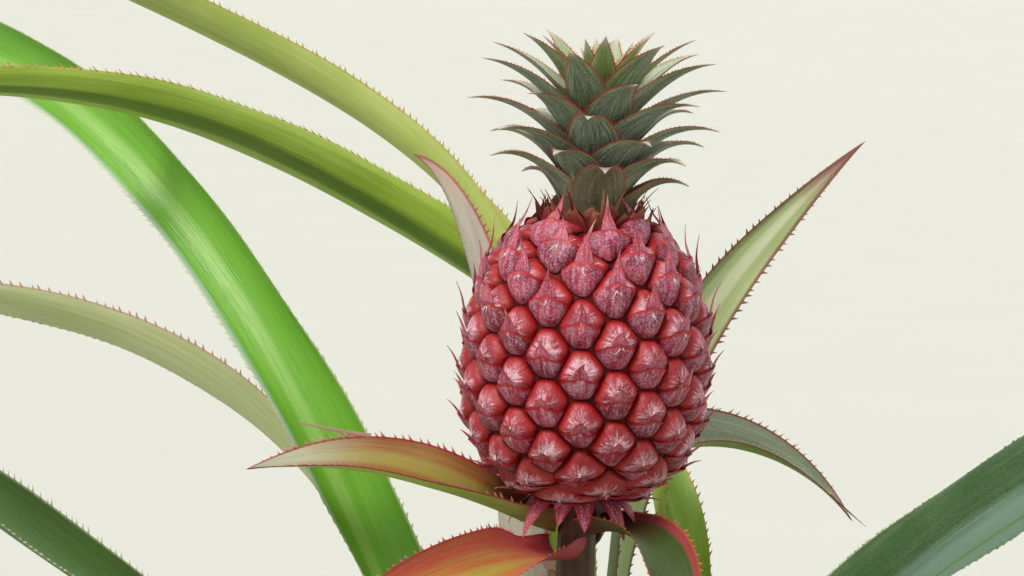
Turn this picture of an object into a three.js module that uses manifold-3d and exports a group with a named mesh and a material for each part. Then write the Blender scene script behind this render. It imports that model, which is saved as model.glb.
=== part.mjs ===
// A fruiting pineapple plant: a short stem with a rosette of long channelled leaves, a fruit stalk with
// leafy bracts, one red fruit and its crown. Millimetres, +Z up, the origin at the cut foot of the stem.
// The viewer of the photograph looks along +Y, with +X to the right.

import * as THREE from "three";
import { mergeVertices } from "three/addons/utils/BufferGeometryUtils.js";
import Module from "manifold-3d";

const wasm = await Module();
wasm.setup();

// Clearance between pieces that touch
const GAP = 0.3;

// Stem: radius and height of its outline, from the flared foot to the cut under the fruit stalk
const STEM_OUTLINE = [[36, 0], [30, 14], [26, 34], [26, 112], [18, 134], [11.5, 150]];
const STEM_SIDES = 32;
const STEM_TOP = 150;

// Fruit stalk: its top leans with the fruit it carries
const STALK_FOOT_RADIUS = 10;
const STALK_TOP_RADIUS = 8;
const STALK_STRAIGHT_TOP = 90;
const STALK_SIDES = 16;
const STALK_RINGS = 7;

// Fruit: place and lean of its axis, then its own measures from its base up
const FRUIT_BASE = new THREE.Vector3(2, 0, 336);
const FRUIT_LEAN = 2.9;
const FRUIT_TOP = 120;
const FRUIT_RADIUS = 51.5;
const FRUIT_WAIST = 55;
const FRUIT_REACH_DOWN = 57;
const FRUIT_REACH_UP = 71;
const FRUIT_ROUNDNESS = 2.6;

// Flat seats at the fruit's ends, on the stalk and under the crown
const SEAT_SIDES = 12;
const FOOT_SEAT = { radius: 11, depth: 14 };
const CROWN_SEAT = { radius: 14, depth: 14 };

// Eyes: one spiral from the top down. On it each eye touches those 8, 13 and 21 places on, and each is a
// low dome between grooves, with the spine of its bract in front
const EYE_COUNT = 116;
const EYE_HIGHEST = 119;
const EYE_STEP = 1;
const EYE_TURN = 137.19;
const EYE_PHASE = 315;
const EYE_HALF_WIDTH = 9;
const EYE_RISE = 1.2;
const SHOULDER_AT = 0.7;
const SHOULDER_DROP = 0.5;
const GROOVE_DEPTH = 4.5;
const [SHORT_STEP, LONG_STEP] = [8, 13];
const SPINE_SIDES = 3;
const SPINE_FLATNESS = 0.6;
const SPINE_ROOT = 4.5;
const SPINE_DROP = 0.3 * EYE_HALF_WIDTH;
const SPINE_LENGTH = 14;
const SPINE_HALF_WIDTH = 2.6;
const SPINE_POINTS = { out: 0.6, up: 0.8 };

// Small bracts that hang in a ring under the fruit
const SKIRT_COUNT = 13;
const SKIRT_LENGTH = 17;
const SKIRT_HALF_WIDTH = 4;
const SKIRT_RADIUS = 9;
const SKIRT_HEIGHT = 5;
const SKIRT_DROOP = 0.7;

// Crown: leaves on a short tapering core, spiralling up from the lowest
const CROWN_FOOT = FRUIT_TOP + GAP;
const CROWN_CORE_HEIGHT = 57;
const CROWN_CORE_RADIUS = 16;
const CROWN_CORE_TIP = 3;
const CROWN_COUNT = 44;
const CROWN_TURN = 137.5;
const CROWN_SIDES = 12;
const CROWN_LEAF_ROOT = 2;
const CROWN_LEAF_THICKNESS = 1.6;
const CROWN_LEAF_CUP = 20;
const CROWN_LEAF_BEND = 1.1;
const CROWN_LEAF_SWEEP = 8;

// How crown leaves change from the lowest to the heart: place on the core, leans at foot and tip, sizes
const CROWN_STAGES = [
  { place: 0, lean: [50, 100], length: 28, halfWidth: 9 },
  { place: 0.35, lean: [34, 96], length: 47, halfWidth: 11 },
  { place: 0.75, lean: [22, 62], length: 48, halfWidth: 9 },
  { place: 1, lean: [5, 18], length: 26, halfWidth: 5 },
];

// Rosette: slots on one spiral, numbered from the oldest, lowest leaf
const SLOT_COUNT = 32;
const SLOT_TURN = 137.3;
const SLOT_PHASE = 330;
const SLOT_LOWEST = 24;
const SLOT_HIGHEST = 138;

// Every blade starts with a flare off its stem, which fades within this length
const FLARE = 34;
const FLARE_FADE = 16;
const CLEAR_OF_STEM = 0.4;
const PATH_STEPS = 240;

// Thickness of a blade's foot, and how many thicknesses long the blade is further out
const LEAF_THICKNESS = { foot: 2.4, slenderness: 100 };
const BRACT_THICKNESS = { foot: 2, slenderness: 60 };

// Leaves that the photograph shows have shapes of their own, by slot: the size, half of the angle that the
// channelled section spans, the leans from upright at foot and tip, how late the lean grows, the sideways
// sweep, where on the leaf it is centred, and the twist
const SHOWN_LEAVES = new Map([
  [9, {
    length: 641, halfWidth: 17, channel: 38, lean: [20, 109], bend: 1.63,
    sweep: 79, turn: 0.61, twist: 52,
  }],
  [14, {
    length: 890, halfWidth: 22.5, channel: 86, lean: [18, 80], bend: 0.92,
    sweep: 130, turn: 0.59, twist: 34,
  }],
  [19, {
    length: 818, halfWidth: 20.4, channel: 88, lean: [16, 106.7], bend: 1.22,
    sweep: 165.4, turn: 0.38, twist: 47.7,
  }],
  [22, {
    length: 417, halfWidth: 19, channel: 69, lean: [11, 82], bend: 6,
    sweep: 19, turn: 0.9, twist: 110,
  }],
  [25, {
    length: 850, halfWidth: 19.8, channel: 70, lean: [10.3, 139], bend: 1.51,
    sweep: -23, turn: 0.21, twist: -76,
  }],
  [26, {
    length: 872, halfWidth: 20.6, channel: 88, lean: [10, 89], bend: 0.52,
    sweep: 40, turn: 0.7, twist: -75,
  }],
  [27, {
    length: 418, halfWidth: 18.5, channel: 38, lean: [10.5, 49], bend: 1.27,
    sweep: -90, turn: 0.65, twist: 95,
  }],
  [28, {
    length: 780, halfWidth: 17.5, channel: 40, lean: [21, 80.3], bend: 0.5,
    sweep: 40, turn: 0.33, twist: -54,
  }],
]);

// Slots left empty, where a leaf would touch those that the photograph shows
const EMPTY_SLOTS = [17, 24, 30, 31];

// Leafy bracts of the fruit stalk: height and azimuth of the foot, then the blade's own measures
const LEAFY_BRACTS = [
  {
    height: 323, azimuth: 178, length: 138, halfWidth: 16, channel: 70,
    lean: [45, 103], bend: 0.88, sweep: -6, twist: -28,
  },
  {
    height: 312, azimuth: 238, length: 152, halfWidth: 15, channel: 60,
    lean: [40, 117], bend: 0.45, sweep: -18, twist: -50,
  },
  {
    height: 314, azimuth: 70, length: 200, halfWidth: 17, channel: 70,
    lean: [37, 143], bend: 1, sweep: -50, twist: 31,
  },
  {
    height: 323, azimuth: 320, length: 112, halfWidth: 13, channel: 60,
    lean: [24, 168], bend: 0.52, sweep: -36, turn: 0.3, twist: 12,
  },
  { height: 300, azimuth: 100, length: 52, halfWidth: 9, lean: [60, 100] },
  { height: 278, azimuth: 255, length: 150, halfWidth: 13, lean: [50, 118] },
  { height: 262, azimuth: 20, length: 170, halfWidth: 13, lean: [46, 112] },
  { height: 236, azimuth: 186, length: 190, halfWidth: 14, lean: [44, 108] },
  { height: 205, azimuth: 5, length: 130, halfWidth: 13, lean: [30, 84] },
];

// What a blade is where its own measures don't say
const PLAIN_BLADE = { channel: 45, bend: 0.8, sweep: 0, turn: 0.4, twist: 0 };

// Where a blade's sections lie, as fractions of its length
const LEAF_SECTIONS = [0, 0.0125, 0.0375, 0.0875, 0.1625, 0.25, 0.35, 0.4625, 0.575, 0.6875, 0.8, 0.9, 1];
const BRACT_SECTIONS = [0, 0.0625, 0.15, 0.275, 0.4125, 0.5625, 0.7, 0.85, 1];
const CROWN_SECTIONS = [0, 0.3, 0.65, 1];

const FINISHES = {
  stem: { color: 0x6b4a35, roughness: 0.85 },
  stalk: { color: 0x5a4034, roughness: 0.7 },
  leaf: { color: 0x4f7a2c, roughness: 0.45 },
  bract: { color: 0x9a5a34, roughness: 0.55 },
  fruit: { color: 0xa3222e, roughness: 0.6 },
  crown: { color: 0x6f7f5c, roughness: 0.65 },
};

const UP = new THREE.Vector3(0, 0, 1);
const radians = THREE.MathUtils.degToRad;
const mix = THREE.MathUtils.lerp;
const smooth = (x) => THREE.MathUtils.smoothstep(x, 0, 1);

// A repeatable number between -1 and 1 for one item and one of its traits
function vary(item, trait) {
  const x = Math.sin(item * 12.9898 + trait * 78.233) * 43758.5453;
  return (x - Math.floor(x)) * 2 - 1;
}

// The horizontal direction at an azimuth in degrees
function outward(azimuth) {
  return new THREE.Vector3(Math.cos(radians(azimuth)), Math.sin(radians(azimuth)), 0);
}

// Faces that close a ring with an even count of points, from one side across to the other
function capFaces(count) {
  const faces = [];
  for (let i = 0; i < count / 2; i += 1) {
    const far = count - i;
    faces.push([i, i + 1, far - 1], [i, far - 1, far % count]);
  }
  return faces.filter((face) => new Set(face).size === 3);
}

// A closed skin over rings of points, each ordered right-handed about the way the rings advance.
// A last ring of one point closes to a tip. The ring's two halves have mirrored diagonals, so that the two
// faces of a thin blade stay side by side.
function skin(rings) {
  const count = rings[0].length;
  const faces = capFaces(count).map((face) => face.reverse());
  rings.slice(1).forEach((ring, k) => {
    const from = k * count;
    const to = from + count;
    for (let i = 0; i < count; i += 1) {
      const j = (i + 1) % count;
      if (ring.length === 1) faces.push([from + i, from + j, to]);
      else if (i < count / 2) faces.push([from + i, from + j, to + j], [from + i, to + j, to + i]);
      else faces.push([from + i, from + j, to + i], [from + j, to + j, to + i]);
    }
  });
  if (rings.at(-1).length > 1) {
    const last = (rings.length - 1) * count;
    faces.push(...capFaces(count).map((face) => face.map((corner) => corner + last)));
  }
  const geometry = new THREE.BufferGeometry().setFromPoints(rings.flat());
  geometry.setIndex(faces.flat());
  geometry.computeVertexNormals();
  return geometry;
}

// A regular ring about an axis, its first corner towards the side direction
function ring(centre, axis, side, count, halfWidth, halfHeight = halfWidth) {
  const rise = axis.clone().cross(side);
  return Array.from({ length: count }, (_, i) => {
    const turn = (i / count) * 2 * Math.PI;
    return centre.clone()
      .addScaledVector(side, halfWidth * Math.cos(turn))
      .addScaledVector(rise, halfHeight * Math.sin(turn));
  });
}

function toSolid(geometry) {
  const bare = geometry.clone();
  bare.deleteAttribute("normal");
  bare.deleteAttribute("uv");
  const merged = mergeVertices(bare);
  return new wasm.Manifold(new wasm.Mesh({
    numProp: 3,
    vertProperties: Float32Array.from(merged.attributes.position.array),
    triVerts: Uint32Array.from(merged.index.array),
  }));
}

function toGeometry(manifold) {
  const { vertProperties, triVerts } = manifold.getMesh();
  const geometry = new THREE.BufferGeometry();
  geometry.setAttribute("position", new THREE.BufferAttribute(vertProperties, 3));
  geometry.setIndex(new THREE.BufferAttribute(triVerts, 1));
  geometry.computeVertexNormals();
  return geometry;
}

function piece(name, geometry, finish) {
  const mesh = new THREE.Mesh(geometry, new THREE.MeshStandardMaterial({ ...FINISHES[finish], metalness: 0 }));
  mesh.name = name;
  return mesh;
}

// A solid turned about Z from an outline of radius and height, closed on the axis at both ends
function turned(outline, sides) {
  const points = [[0, outline[0][1]], ...outline, [0, outline.at(-1)[1]]];
  const geometry = new THREE.LatheGeometry(points.map(([r, z]) => new THREE.Vector2(r, z)), sides);
  return geometry.rotateX(Math.PI / 2);
}

// The stem's radius at a height
function stemRadius(height) {
  const upper = STEM_OUTLINE.findIndex(([, z]) => z >= height);
  const [r0, z0] = STEM_OUTLINE[Math.max(upper - 1, 0)];
  const [r1, z1] = STEM_OUTLINE[upper];
  return z1 === z0 ? r1 : mix(r0, r1, (height - z0) / (z1 - z0));
}

// A blade's course at a fraction of its length: its heading and its lean from upright, in degrees
function courseAt(blade, u) {
  const { azimuth, lean, bend, sweep, turn, length } = blade;
  const flare = FLARE * Math.exp((-u * length) / FLARE_FADE);
  return {
    heading: azimuth + sweep * smooth((u - turn + 0.3) / 0.6),
    lean: lean[0] + (lean[1] - lean[0]) * u ** bend + flare,
  };
}

// The blade's own directions there: along it, to its side, and the way its upper face looks
function framesAt(blade, u) {
  const { heading, lean } = courseAt(blade, u);
  const out = outward(heading);
  const [sine, cosine] = [Math.sin(radians(lean)), Math.cos(radians(lean))];
  const along = out.clone().multiplyScalar(sine).addScaledVector(UP, cosine);
  const twist = radians(blade.twist) * smooth((u - 0.05) / 0.4);
  const side = outward(heading + 90).applyAxisAngle(along, twist);
  const face = out.multiplyScalar(-cosine).addScaledVector(UP, sine).applyAxisAngle(along, twist);
  return { along, side, face };
}

// Points of the blade's centre line at every step
function centreLine(blade) {
  const points = [blade.start.clone()];
  for (let step = 0; step < PATH_STEPS; step += 1) {
    const { along } = framesAt(blade, (step + 0.5) / PATH_STEPS);
    points.push(points.at(-1).clone().addScaledVector(along, blade.length / PATH_STEPS));
  }
  return points;
}

// Half of the blade's flat width: an even stretch and a long taper
function halfWidthAt(blade, u) {
  return blade.halfWidth * (1 - Math.max(0, (u - 0.45) / 0.55) ** 1.8);
}

// Half of the angle that the blade's channelled section spans, from round the stem to an open tip
function channelAt(blade, u) {
  const round = blade.halfWidth / blade.wraps;
  const open = radians(blade.channel) * mix(1, 0.6, smooth((u - 0.6) / 0.4));
  return mix(round, open, smooth(u / 0.15));
}

function thicknessAt(blade, u) {
  const { foot, slenderness } = blade.thickness;
  return mix(foot, blade.length / slenderness, smooth(u / 0.25)) * mix(1, 0.5, smooth((u - 0.5) / 0.5));
}

// A channelled blade, thick along its middle and sharp at its margins and tip
function bladeGeometry(blade, sections) {
  const line = centreLine(blade);
  const rings = sections.map((u) => {
    const centre = line[Math.round(u * PATH_STEPS)];
    if (u === 1) return [centre];
    const { side, face } = framesAt(blade, u);
    const span = channelAt(blade, u);
    const curve = halfWidthAt(blade, u) / span;
    const across = (v, half) => {
      const turn = span * v;
      const normal = face.clone().multiplyScalar(Math.cos(turn)).addScaledVector(side, -Math.sin(turn));
      return centre.clone()
        .addScaledVector(side, curve * Math.sin(turn))
        .addScaledVector(face, curve * (1 - Math.cos(turn)))
        .addScaledVector(normal, half * (1 - v * v));
    };
    const half = thicknessAt(blade, u) / 2;
    const under = [-1, -0.5, 0, 0.5, 1].map((v) => across(v, -half));
    return [...under, ...[0.5, 0, -0.5].map((v) => across(v, half))];
  });
  return skin(rings);
}

// A blade whose foot stands clear of the round stem that it wraps
function rootedBlade(measures, axisPoint, radius) {
  const blade = { ...PLAIN_BLADE, ...measures };
  const cosine = Math.cos(radians(blade.lean[0] + FLARE));
  blade.wraps = radius + GAP + CLEAR_OF_STEM + (blade.thickness.foot / 2) * cosine;
  blade.start = axisPoint.clone().addScaledVector(outward(blade.azimuth), blade.wraps);
  return blade;
}

// The measures of a leaf that the photograph doesn't single out: older ones arch lower, young ones are short
function plainLeaf(slot) {
  const age = slot / (SLOT_COUNT - 1);
  return {
    lean: [mix(50, 13, age) + 2 * vary(slot, 1), mix(118, 104, age) + 5 * vary(slot, 2)],
    bend: mix(0.8, 0.55, age),
    sweep: 10 * vary(slot, 3),
    twist: 12 * vary(slot, 4),
    length: (age < 0.5 ? mix(520, 760, age * 2) : mix(760, 380, age * 2 - 1)) * (1 + 0.05 * vary(slot, 5)),
    halfWidth: 18 + 1.5 * vary(slot, 6) - 4 * Math.max(0, age - 0.6),
  };
}

function leafBlade(slot) {
  const height = mix(SLOT_LOWEST, SLOT_HIGHEST, slot / (SLOT_COUNT - 1));
  const measures = SHOWN_LEAVES.get(slot) ?? plainLeaf(slot);
  const azimuth = SLOT_PHASE + SLOT_TURN * slot;
  const onAxis = new THREE.Vector3(0, 0, height);
  return rootedBlade({ ...measures, azimuth, thickness: LEAF_THICKNESS }, onAxis, stemRadius(height));
}

// The fruit stalk's axis, which ends square to the leaning fruit
function stalkAxis() {
  const lean = new THREE.Vector3(Math.sin(radians(FRUIT_LEAN)), 0, Math.cos(radians(FRUIT_LEAN)));
  const top = FRUIT_BASE.clone().addScaledVector(lean, -GAP);
  const foot = new THREE.Vector3(0, 0, STEM_TOP + GAP);
  return new THREE.QuadraticBezierCurve3(foot, top.clone().addScaledVector(lean, -STALK_STRAIGHT_TOP), top);
}

function stalkGeometry(axis) {
  const rings = Array.from({ length: STALK_RINGS }, (_, k) => {
    const t = k / (STALK_RINGS - 1);
    const along = axis.getTangent(t);
    const side = new THREE.Vector3(0, 1, 0).cross(along);
    return ring(axis.getPoint(t), along, side, STALK_SIDES, mix(STALK_FOOT_RADIUS, STALK_TOP_RADIUS, t));
  });
  return skin(rings);
}

function bractBlade(bract, axis) {
  const t = (bract.height - STEM_TOP) / (FRUIT_BASE.z - STEM_TOP);
  const radius = mix(STALK_FOOT_RADIUS, STALK_TOP_RADIUS, t);
  return rootedBlade({ ...bract, thickness: BRACT_THICKNESS }, axis.getPoint(t), radius);
}

// The fruit's outer radius at a height over its base
function fruitRadius(height) {
  const reach = height > FRUIT_WAIST ? FRUIT_REACH_UP : FRUIT_REACH_DOWN;
  const away = Math.abs(height - FRUIT_WAIST) / reach;
  return FRUIT_RADIUS * Math.sqrt(Math.max(0, 1 - away ** FRUIT_ROUNDNESS));
}

// An eye's place on the fruit: its centre, the way it looks, its own up and side, and its size
function eyeAt(index) {
  const height = EYE_HIGHEST - EYE_STEP * index;
  const azimuth = EYE_PHASE + EYE_TURN * index;
  const radius = fruitRadius(height);
  const slope = Math.atan(fruitRadius(height - 0.5) - fruitRadius(height + 0.5));
  const out = outward(azimuth);
  const normal = out.clone().multiplyScalar(Math.cos(slope)).addScaledVector(UP, Math.sin(slope));
  const side = outward(azimuth + 90);
  const centre = out.clone().multiplyScalar(radius).addScaledVector(UP, height);
  return { centre, normal, side, climb: normal.clone().cross(side), size: mix(0.45, 1, radius / FRUIT_RADIUS) };
}

// The body under the spines: every eye a six-sided dome whose corners are the grooves' meeting points
function eyesSolid(eyes) {
  const middle = new THREE.Vector3(0, 0, FRUIT_TOP / 2);
  const peaks = eyes.map(({ centre, normal, size }) => centre.clone().addScaledVector(normal, EYE_RISE * size));
  const groove = (...indices) => {
    const sum = indices.reduce((total, i) => total.add(eyes[i].centre), new THREE.Vector3());
    const normal = indices.reduce((total, i) => total.add(eyes[i].normal), new THREE.Vector3()).normalize();
    return sum.divideScalar(3).addScaledVector(normal, -GROOVE_DEPTH * eyes[indices[0]].size);
  };
  const far = SHORT_STEP + LONG_STEP;
  const left = (i) => (i >= 0 && i + far < EYE_COUNT ? groove(i, i + SHORT_STEP, i + far) : null);
  const right = (i) => (i >= 0 && i + far < EYE_COUNT ? groove(i, i + LONG_STEP, i + far) : null);
  const borders = [];
  for (let i = 0; i < EYE_COUNT; i += 1) {
    borders.push([i, i + SHORT_STEP, left(i), right(i - LONG_STEP)]);
    borders.push([i, i + LONG_STEP, right(i), left(i - SHORT_STEP)]);
    borders.push([i, i + far, left(i), right(i)]);
  }
  const ends = [new THREE.Vector3(0, 0, 0), new THREE.Vector3(0, 0, FRUIT_TOP)];
  const faces = [];
  const shoulder = (i, corner) => corner.clone().lerp(peaks[i], 1 - SHOULDER_AT)
    .addScaledVector(eyes[i].normal, (GROOVE_DEPTH * SHOULDER_AT - SHOULDER_DROP) * eyes[i].size);
  borders.filter(([, other]) => other < EYE_COUNT).forEach(([one, other, ...corners]) => {
    const [from, to] = corners.filter(Boolean);
    if (to) {
      [one, other].forEach((i) => {
        const [first, second] = [shoulder(i, from), shoulder(i, to)];
        faces.push([peaks[i], first, second], [first, from, to], [first, to, second]);
      });
    } else {
      const [near, next] = [shoulder(one, from), shoulder(other, from)];
      const end = ends[peaks[one].z > middle.z ? 1 : 0];
      faces.push([peaks[one], peaks[other], near], [peaks[other], next, near], [near, next, from]);
      faces.push([peaks[one], peaks[other], end]);
    }
  });
  const outwardFaces = faces.map((face) => {
    const [a, b, c] = face;
    const looks = b.clone().sub(a).cross(c.clone().sub(a));
    return looks.dot(a.clone().add(b).add(c).divideScalar(3).sub(middle)) > 0 ? face : [a, c, b];
  });
  return toSolid(new THREE.BufferGeometry().setFromPoints(outwardFaces.flat()));
}

// A slender spine from a root towards a tip
function spine(root, direction, side, length, halfWidth) {
  const base = ring(root, direction, side, SPINE_SIDES, halfWidth, halfWidth * SPINE_FLATNESS);
  return toSolid(skin([base, [root.clone().addScaledVector(direction, length)]]));
}

// The spine of an eye's bract, which starts below the eye and points out and up in front of it
function eyeSpine({ centre, normal, side, climb, size }, index) {
  const { out, up } = SPINE_POINTS;
  const direction = normal.clone().multiplyScalar(out).addScaledVector(UP, up).normalize();
  const root = centre.clone().addScaledVector(normal, -SPINE_ROOT).addScaledVector(climb, -SPINE_DROP * size);
  const length = SPINE_ROOT + SPINE_LENGTH * mix(0.8, 1, size) * (1 + 0.15 * vary(index, 1));
  return spine(root, direction, side, length, SPINE_HALF_WIDTH * size);
}

// The fruit: eyes, seats, spines and the skirt of small bracts, without spines that would touch the crown
function fruitGeometry(crown) {
  const eyes = Array.from({ length: EYE_COUNT }, (_, index) => eyeAt(index));
  const seats = [
    [[FOOT_SEAT.radius, 0], [FOOT_SEAT.radius, FOOT_SEAT.depth]],
    [[CROWN_SEAT.radius, FRUIT_TOP - CROWN_SEAT.depth], [CROWN_SEAT.radius, FRUIT_TOP]],
  ];
  const spines = eyes.map(eyeSpine).filter((part) => crown.intersect(part).isEmpty());
  const skirt = Array.from({ length: SKIRT_COUNT }, (_, k) => {
    const out = outward((360 * k) / SKIRT_COUNT + 6 * vary(k, 2));
    const root = out.clone().multiplyScalar(SKIRT_RADIUS).addScaledVector(UP, SKIRT_HEIGHT);
    const direction = out.clone().addScaledVector(UP, -SKIRT_DROOP).normalize();
    const length = SKIRT_LENGTH * (1 + 0.2 * vary(k, 3));
    return spine(root, direction, UP.clone().cross(out), length, SKIRT_HALF_WIDTH);
  });
  const body = [eyesSolid(eyes), ...seats.map((outline) => toSolid(turned(outline, SEAT_SIDES)))];
  return toGeometry(wasm.Manifold.union([...body, ...spines, ...skirt]));
}

// A crown leaf's measures at its place between the lowest leaf and the heart
function crownStage(place) {
  const upper = Math.max(1, CROWN_STAGES.findIndex((stage) => stage.place >= place));
  const [from, to] = [CROWN_STAGES[upper - 1], CROWN_STAGES[upper]];
  const t = (place - from.place) / (to.place - from.place);
  return {
    lean: [mix(from.lean[0], to.lean[0], t), mix(from.lean[1], to.lean[1], t)],
    length: mix(from.length, to.length, t),
    halfWidth: mix(from.halfWidth, to.halfWidth, t),
  };
}

function crownLeaf(index) {
  const place = index / (CROWN_COUNT - 1);
  const stage = crownStage(place);
  const azimuth = CROWN_TURN * index;
  const radius = mix(CROWN_CORE_RADIUS, CROWN_CORE_TIP, place) - CROWN_LEAF_ROOT;
  const height = mix(CROWN_LEAF_ROOT, CROWN_CORE_HEIGHT - CROWN_LEAF_ROOT, place);
  const blade = {
    ...stage,
    azimuth,
    start: outward(azimuth).multiplyScalar(radius).addScaledVector(UP, CROWN_FOOT + height),
    length: stage.length * (1 + 0.07 * vary(index, 7)),
    bend: CROWN_LEAF_BEND,
    sweep: CROWN_LEAF_SWEEP * vary(index, 8),
    turn: 0.5,
    twist: 0,
  };
  const line = centreLine(blade);
  const cup = radians(CROWN_LEAF_CUP);
  const rings = CROWN_SECTIONS.map((u) => {
    const centre = line[Math.round(u * PATH_STEPS)];
    if (u === 1) return [centre];
    const { side, face } = framesAt(blade, u);
    const halfWidth = stage.halfWidth * (1 - u ** 1.7);
    const edge = (sign) => centre.clone()
      .addScaledVector(side, sign * halfWidth * Math.cos(cup))
      .addScaledVector(face, halfWidth * Math.sin(cup));
    const middle = (sign) => centre.clone().addScaledVector(face, (sign * CROWN_LEAF_THICKNESS) / 2);
    return [edge(-1), middle(-1), edge(1), middle(1)];
  });
  return toSolid(skin(rings));
}

function crownSolid() {
  const outline = [[CROWN_CORE_RADIUS, CROWN_FOOT], [CROWN_CORE_TIP, CROWN_FOOT + CROWN_CORE_HEIGHT]];
  const leaves = Array.from({ length: CROWN_COUNT }, (_, index) => crownLeaf(index));
  return wasm.Manifold.union([toSolid(turned(outline, CROWN_SIDES)), ...leaves]);
}

const plant = new THREE.Group();
plant.add(piece("stem", turned(STEM_OUTLINE, STEM_SIDES), "stem"));

const axis = stalkAxis();
plant.add(piece("stalk", stalkGeometry(axis), "stalk"));
LEAFY_BRACTS.forEach((bract, index) => {
  plant.add(piece(`bract_${index + 1}`, bladeGeometry(bractBlade(bract, axis), BRACT_SECTIONS), "bract"));
});

const head = new THREE.Group();
head.position.copy(FRUIT_BASE);
head.rotation.y = radians(FRUIT_LEAN);
const crown = crownSolid();
head.add(piece("fruit", fruitGeometry(crown), "fruit"));
head.add(piece("crown", toGeometry(crown), "crown"));
plant.add(head);

for (let slot = 0; slot < SLOT_COUNT; slot += 1) {
  if (!EMPTY_SLOTS.includes(slot)) {
    const name = `leaf_${String(slot + 1).padStart(2, "0")}`;
    plant.add(piece(name, bladeGeometry(leafBlade(slot), LEAF_SECTIONS), "leaf"));
  }
}

export default plant;
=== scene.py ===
"""The looks of a fruiting pineapple plant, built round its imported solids.

Lengths are millimetres until a mesh is made. Leaves, bracts, crown and eyes follow the same rules as the
solids that they stand for, with finer sections, toothed margins and relief.
"""

import logging
import math
from dataclasses import dataclass, field
from enum import Enum

import bpy
import numpy as np
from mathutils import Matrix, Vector


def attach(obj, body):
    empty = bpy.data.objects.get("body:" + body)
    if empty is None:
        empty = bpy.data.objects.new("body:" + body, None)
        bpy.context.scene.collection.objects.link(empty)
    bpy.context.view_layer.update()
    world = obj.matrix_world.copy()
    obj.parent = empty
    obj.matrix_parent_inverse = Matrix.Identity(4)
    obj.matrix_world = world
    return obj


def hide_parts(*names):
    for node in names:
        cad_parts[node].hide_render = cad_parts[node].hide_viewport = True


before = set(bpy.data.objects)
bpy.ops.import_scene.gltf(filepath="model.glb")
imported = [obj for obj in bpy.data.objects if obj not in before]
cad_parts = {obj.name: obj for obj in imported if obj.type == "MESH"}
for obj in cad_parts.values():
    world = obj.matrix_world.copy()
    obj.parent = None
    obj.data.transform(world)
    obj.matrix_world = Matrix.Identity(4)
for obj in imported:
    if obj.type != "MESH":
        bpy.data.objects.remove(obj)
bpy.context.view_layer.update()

log = logging.getLogger("pineapple")

Array = np.ndarray
Colour = tuple[float, float, float, float]

UP = np.array([0.0, 0.0, 1.0])
MILLIMETRE = 0.001

# Solids that touch stand this far apart, and a blade's foot keeps a little farther off its stem
GAP = 0.3
CLEAR_OF_STEM = 0.4

# The stalk runs from the stem's top to the fruit's base, which leans to the photo's right
STEM_TOP = 150.0
FRUIT_BASE = np.array([2.0, 0.0, 336.0])
FRUIT_LEAN = 2.9

# Every blade starts with a flare off its stem, which fades within this length
FLARE = 34.0
FLARE_FADE = 16.0

# Shares of a blade's length over which it sweeps, twists, and opens from round its stem
SWEEP_SPAN = 0.6
TWIST_SPAN = 0.4
CLASPING = 0.15

# Shares of its length at which its twist starts, its even width ends, and it starts to thin and to close
TWIST_START = 0.05
EVEN = 0.45
THINNING_FROM = 0.5
CLOSING_FROM = 0.6

# Steps in which a blade's centre line and the fruit's outline are summed up
PATH_STEPS = 240
OUTLINE_STEPS = 480

# A blade's points carry their place along and across it, the distances to its margin and tip, and its tone
BLADE_MARKS = ("run", "across", "edge", "tip", "tone")

# The angle between one part and the next on every spiral of leaves but the long ones', as on real plants
SPIRAL = 137.5


def smooth(x: Array | float) -> Array:
    """An S-shaped step from 0 to 1, flat outside that range."""
    x = np.clip(x, 0.0, 1.0)
    return x * x * (3 - 2 * x)


def mix(low: Array | float, high: Array | float, share: Array | float) -> Array | float:
    """The value at a share of the way from low to high."""
    return low + (high - low) * share


def vary(item: float, trait: float) -> float:
    """A repeatable number between -1 and 1 for one item and one of its traits."""
    x = math.sin(item * 12.9898 + trait * 78.233) * 43758.5453
    return (x - math.floor(x)) * 2 - 1


def outward(azimuth: Array | float) -> Array:
    """The horizontal direction at an azimuth in degrees."""
    turn = np.radians(azimuth)
    return np.stack([np.cos(turn), np.sin(turn), 0 * turn], -1)


def unit(vectors: Array) -> Array:
    """The vectors at length 1."""
    return vectors / np.maximum(np.linalg.norm(vectors, axis=-1, keepdims=True), 1e-9)


def turned_about(vectors: Array, axes: Array, angles: Array) -> Array:
    """Vectors turned about axes of length 1.

    Args:
        vectors: One vector a row.
        axes: The axis of each row.
        angles: The angle of each row, in radians.

    Returns:
        The turned vectors, one a row.
    """
    cosine, sine = np.cos(angles)[:, None], np.sin(angles)[:, None]
    along = (axes * vectors).sum(-1, keepdims=True)
    return vectors * cosine + np.cross(axes, vectors) * sine + axes * along * (1 - cosine)


def paint(code: str) -> Colour:
    """A six-digit screen colour as the linear colour that a shader takes."""
    parts = [int(code[i:i + 2], 16) / 255 for i in (0, 2, 4)]
    linear = [c / 12.92 if c <= 0.04045 else ((c + 0.055) / 1.055) ** 2.4 for c in parts]
    return (linear[0], linear[1], linear[2], 1.0)


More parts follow.
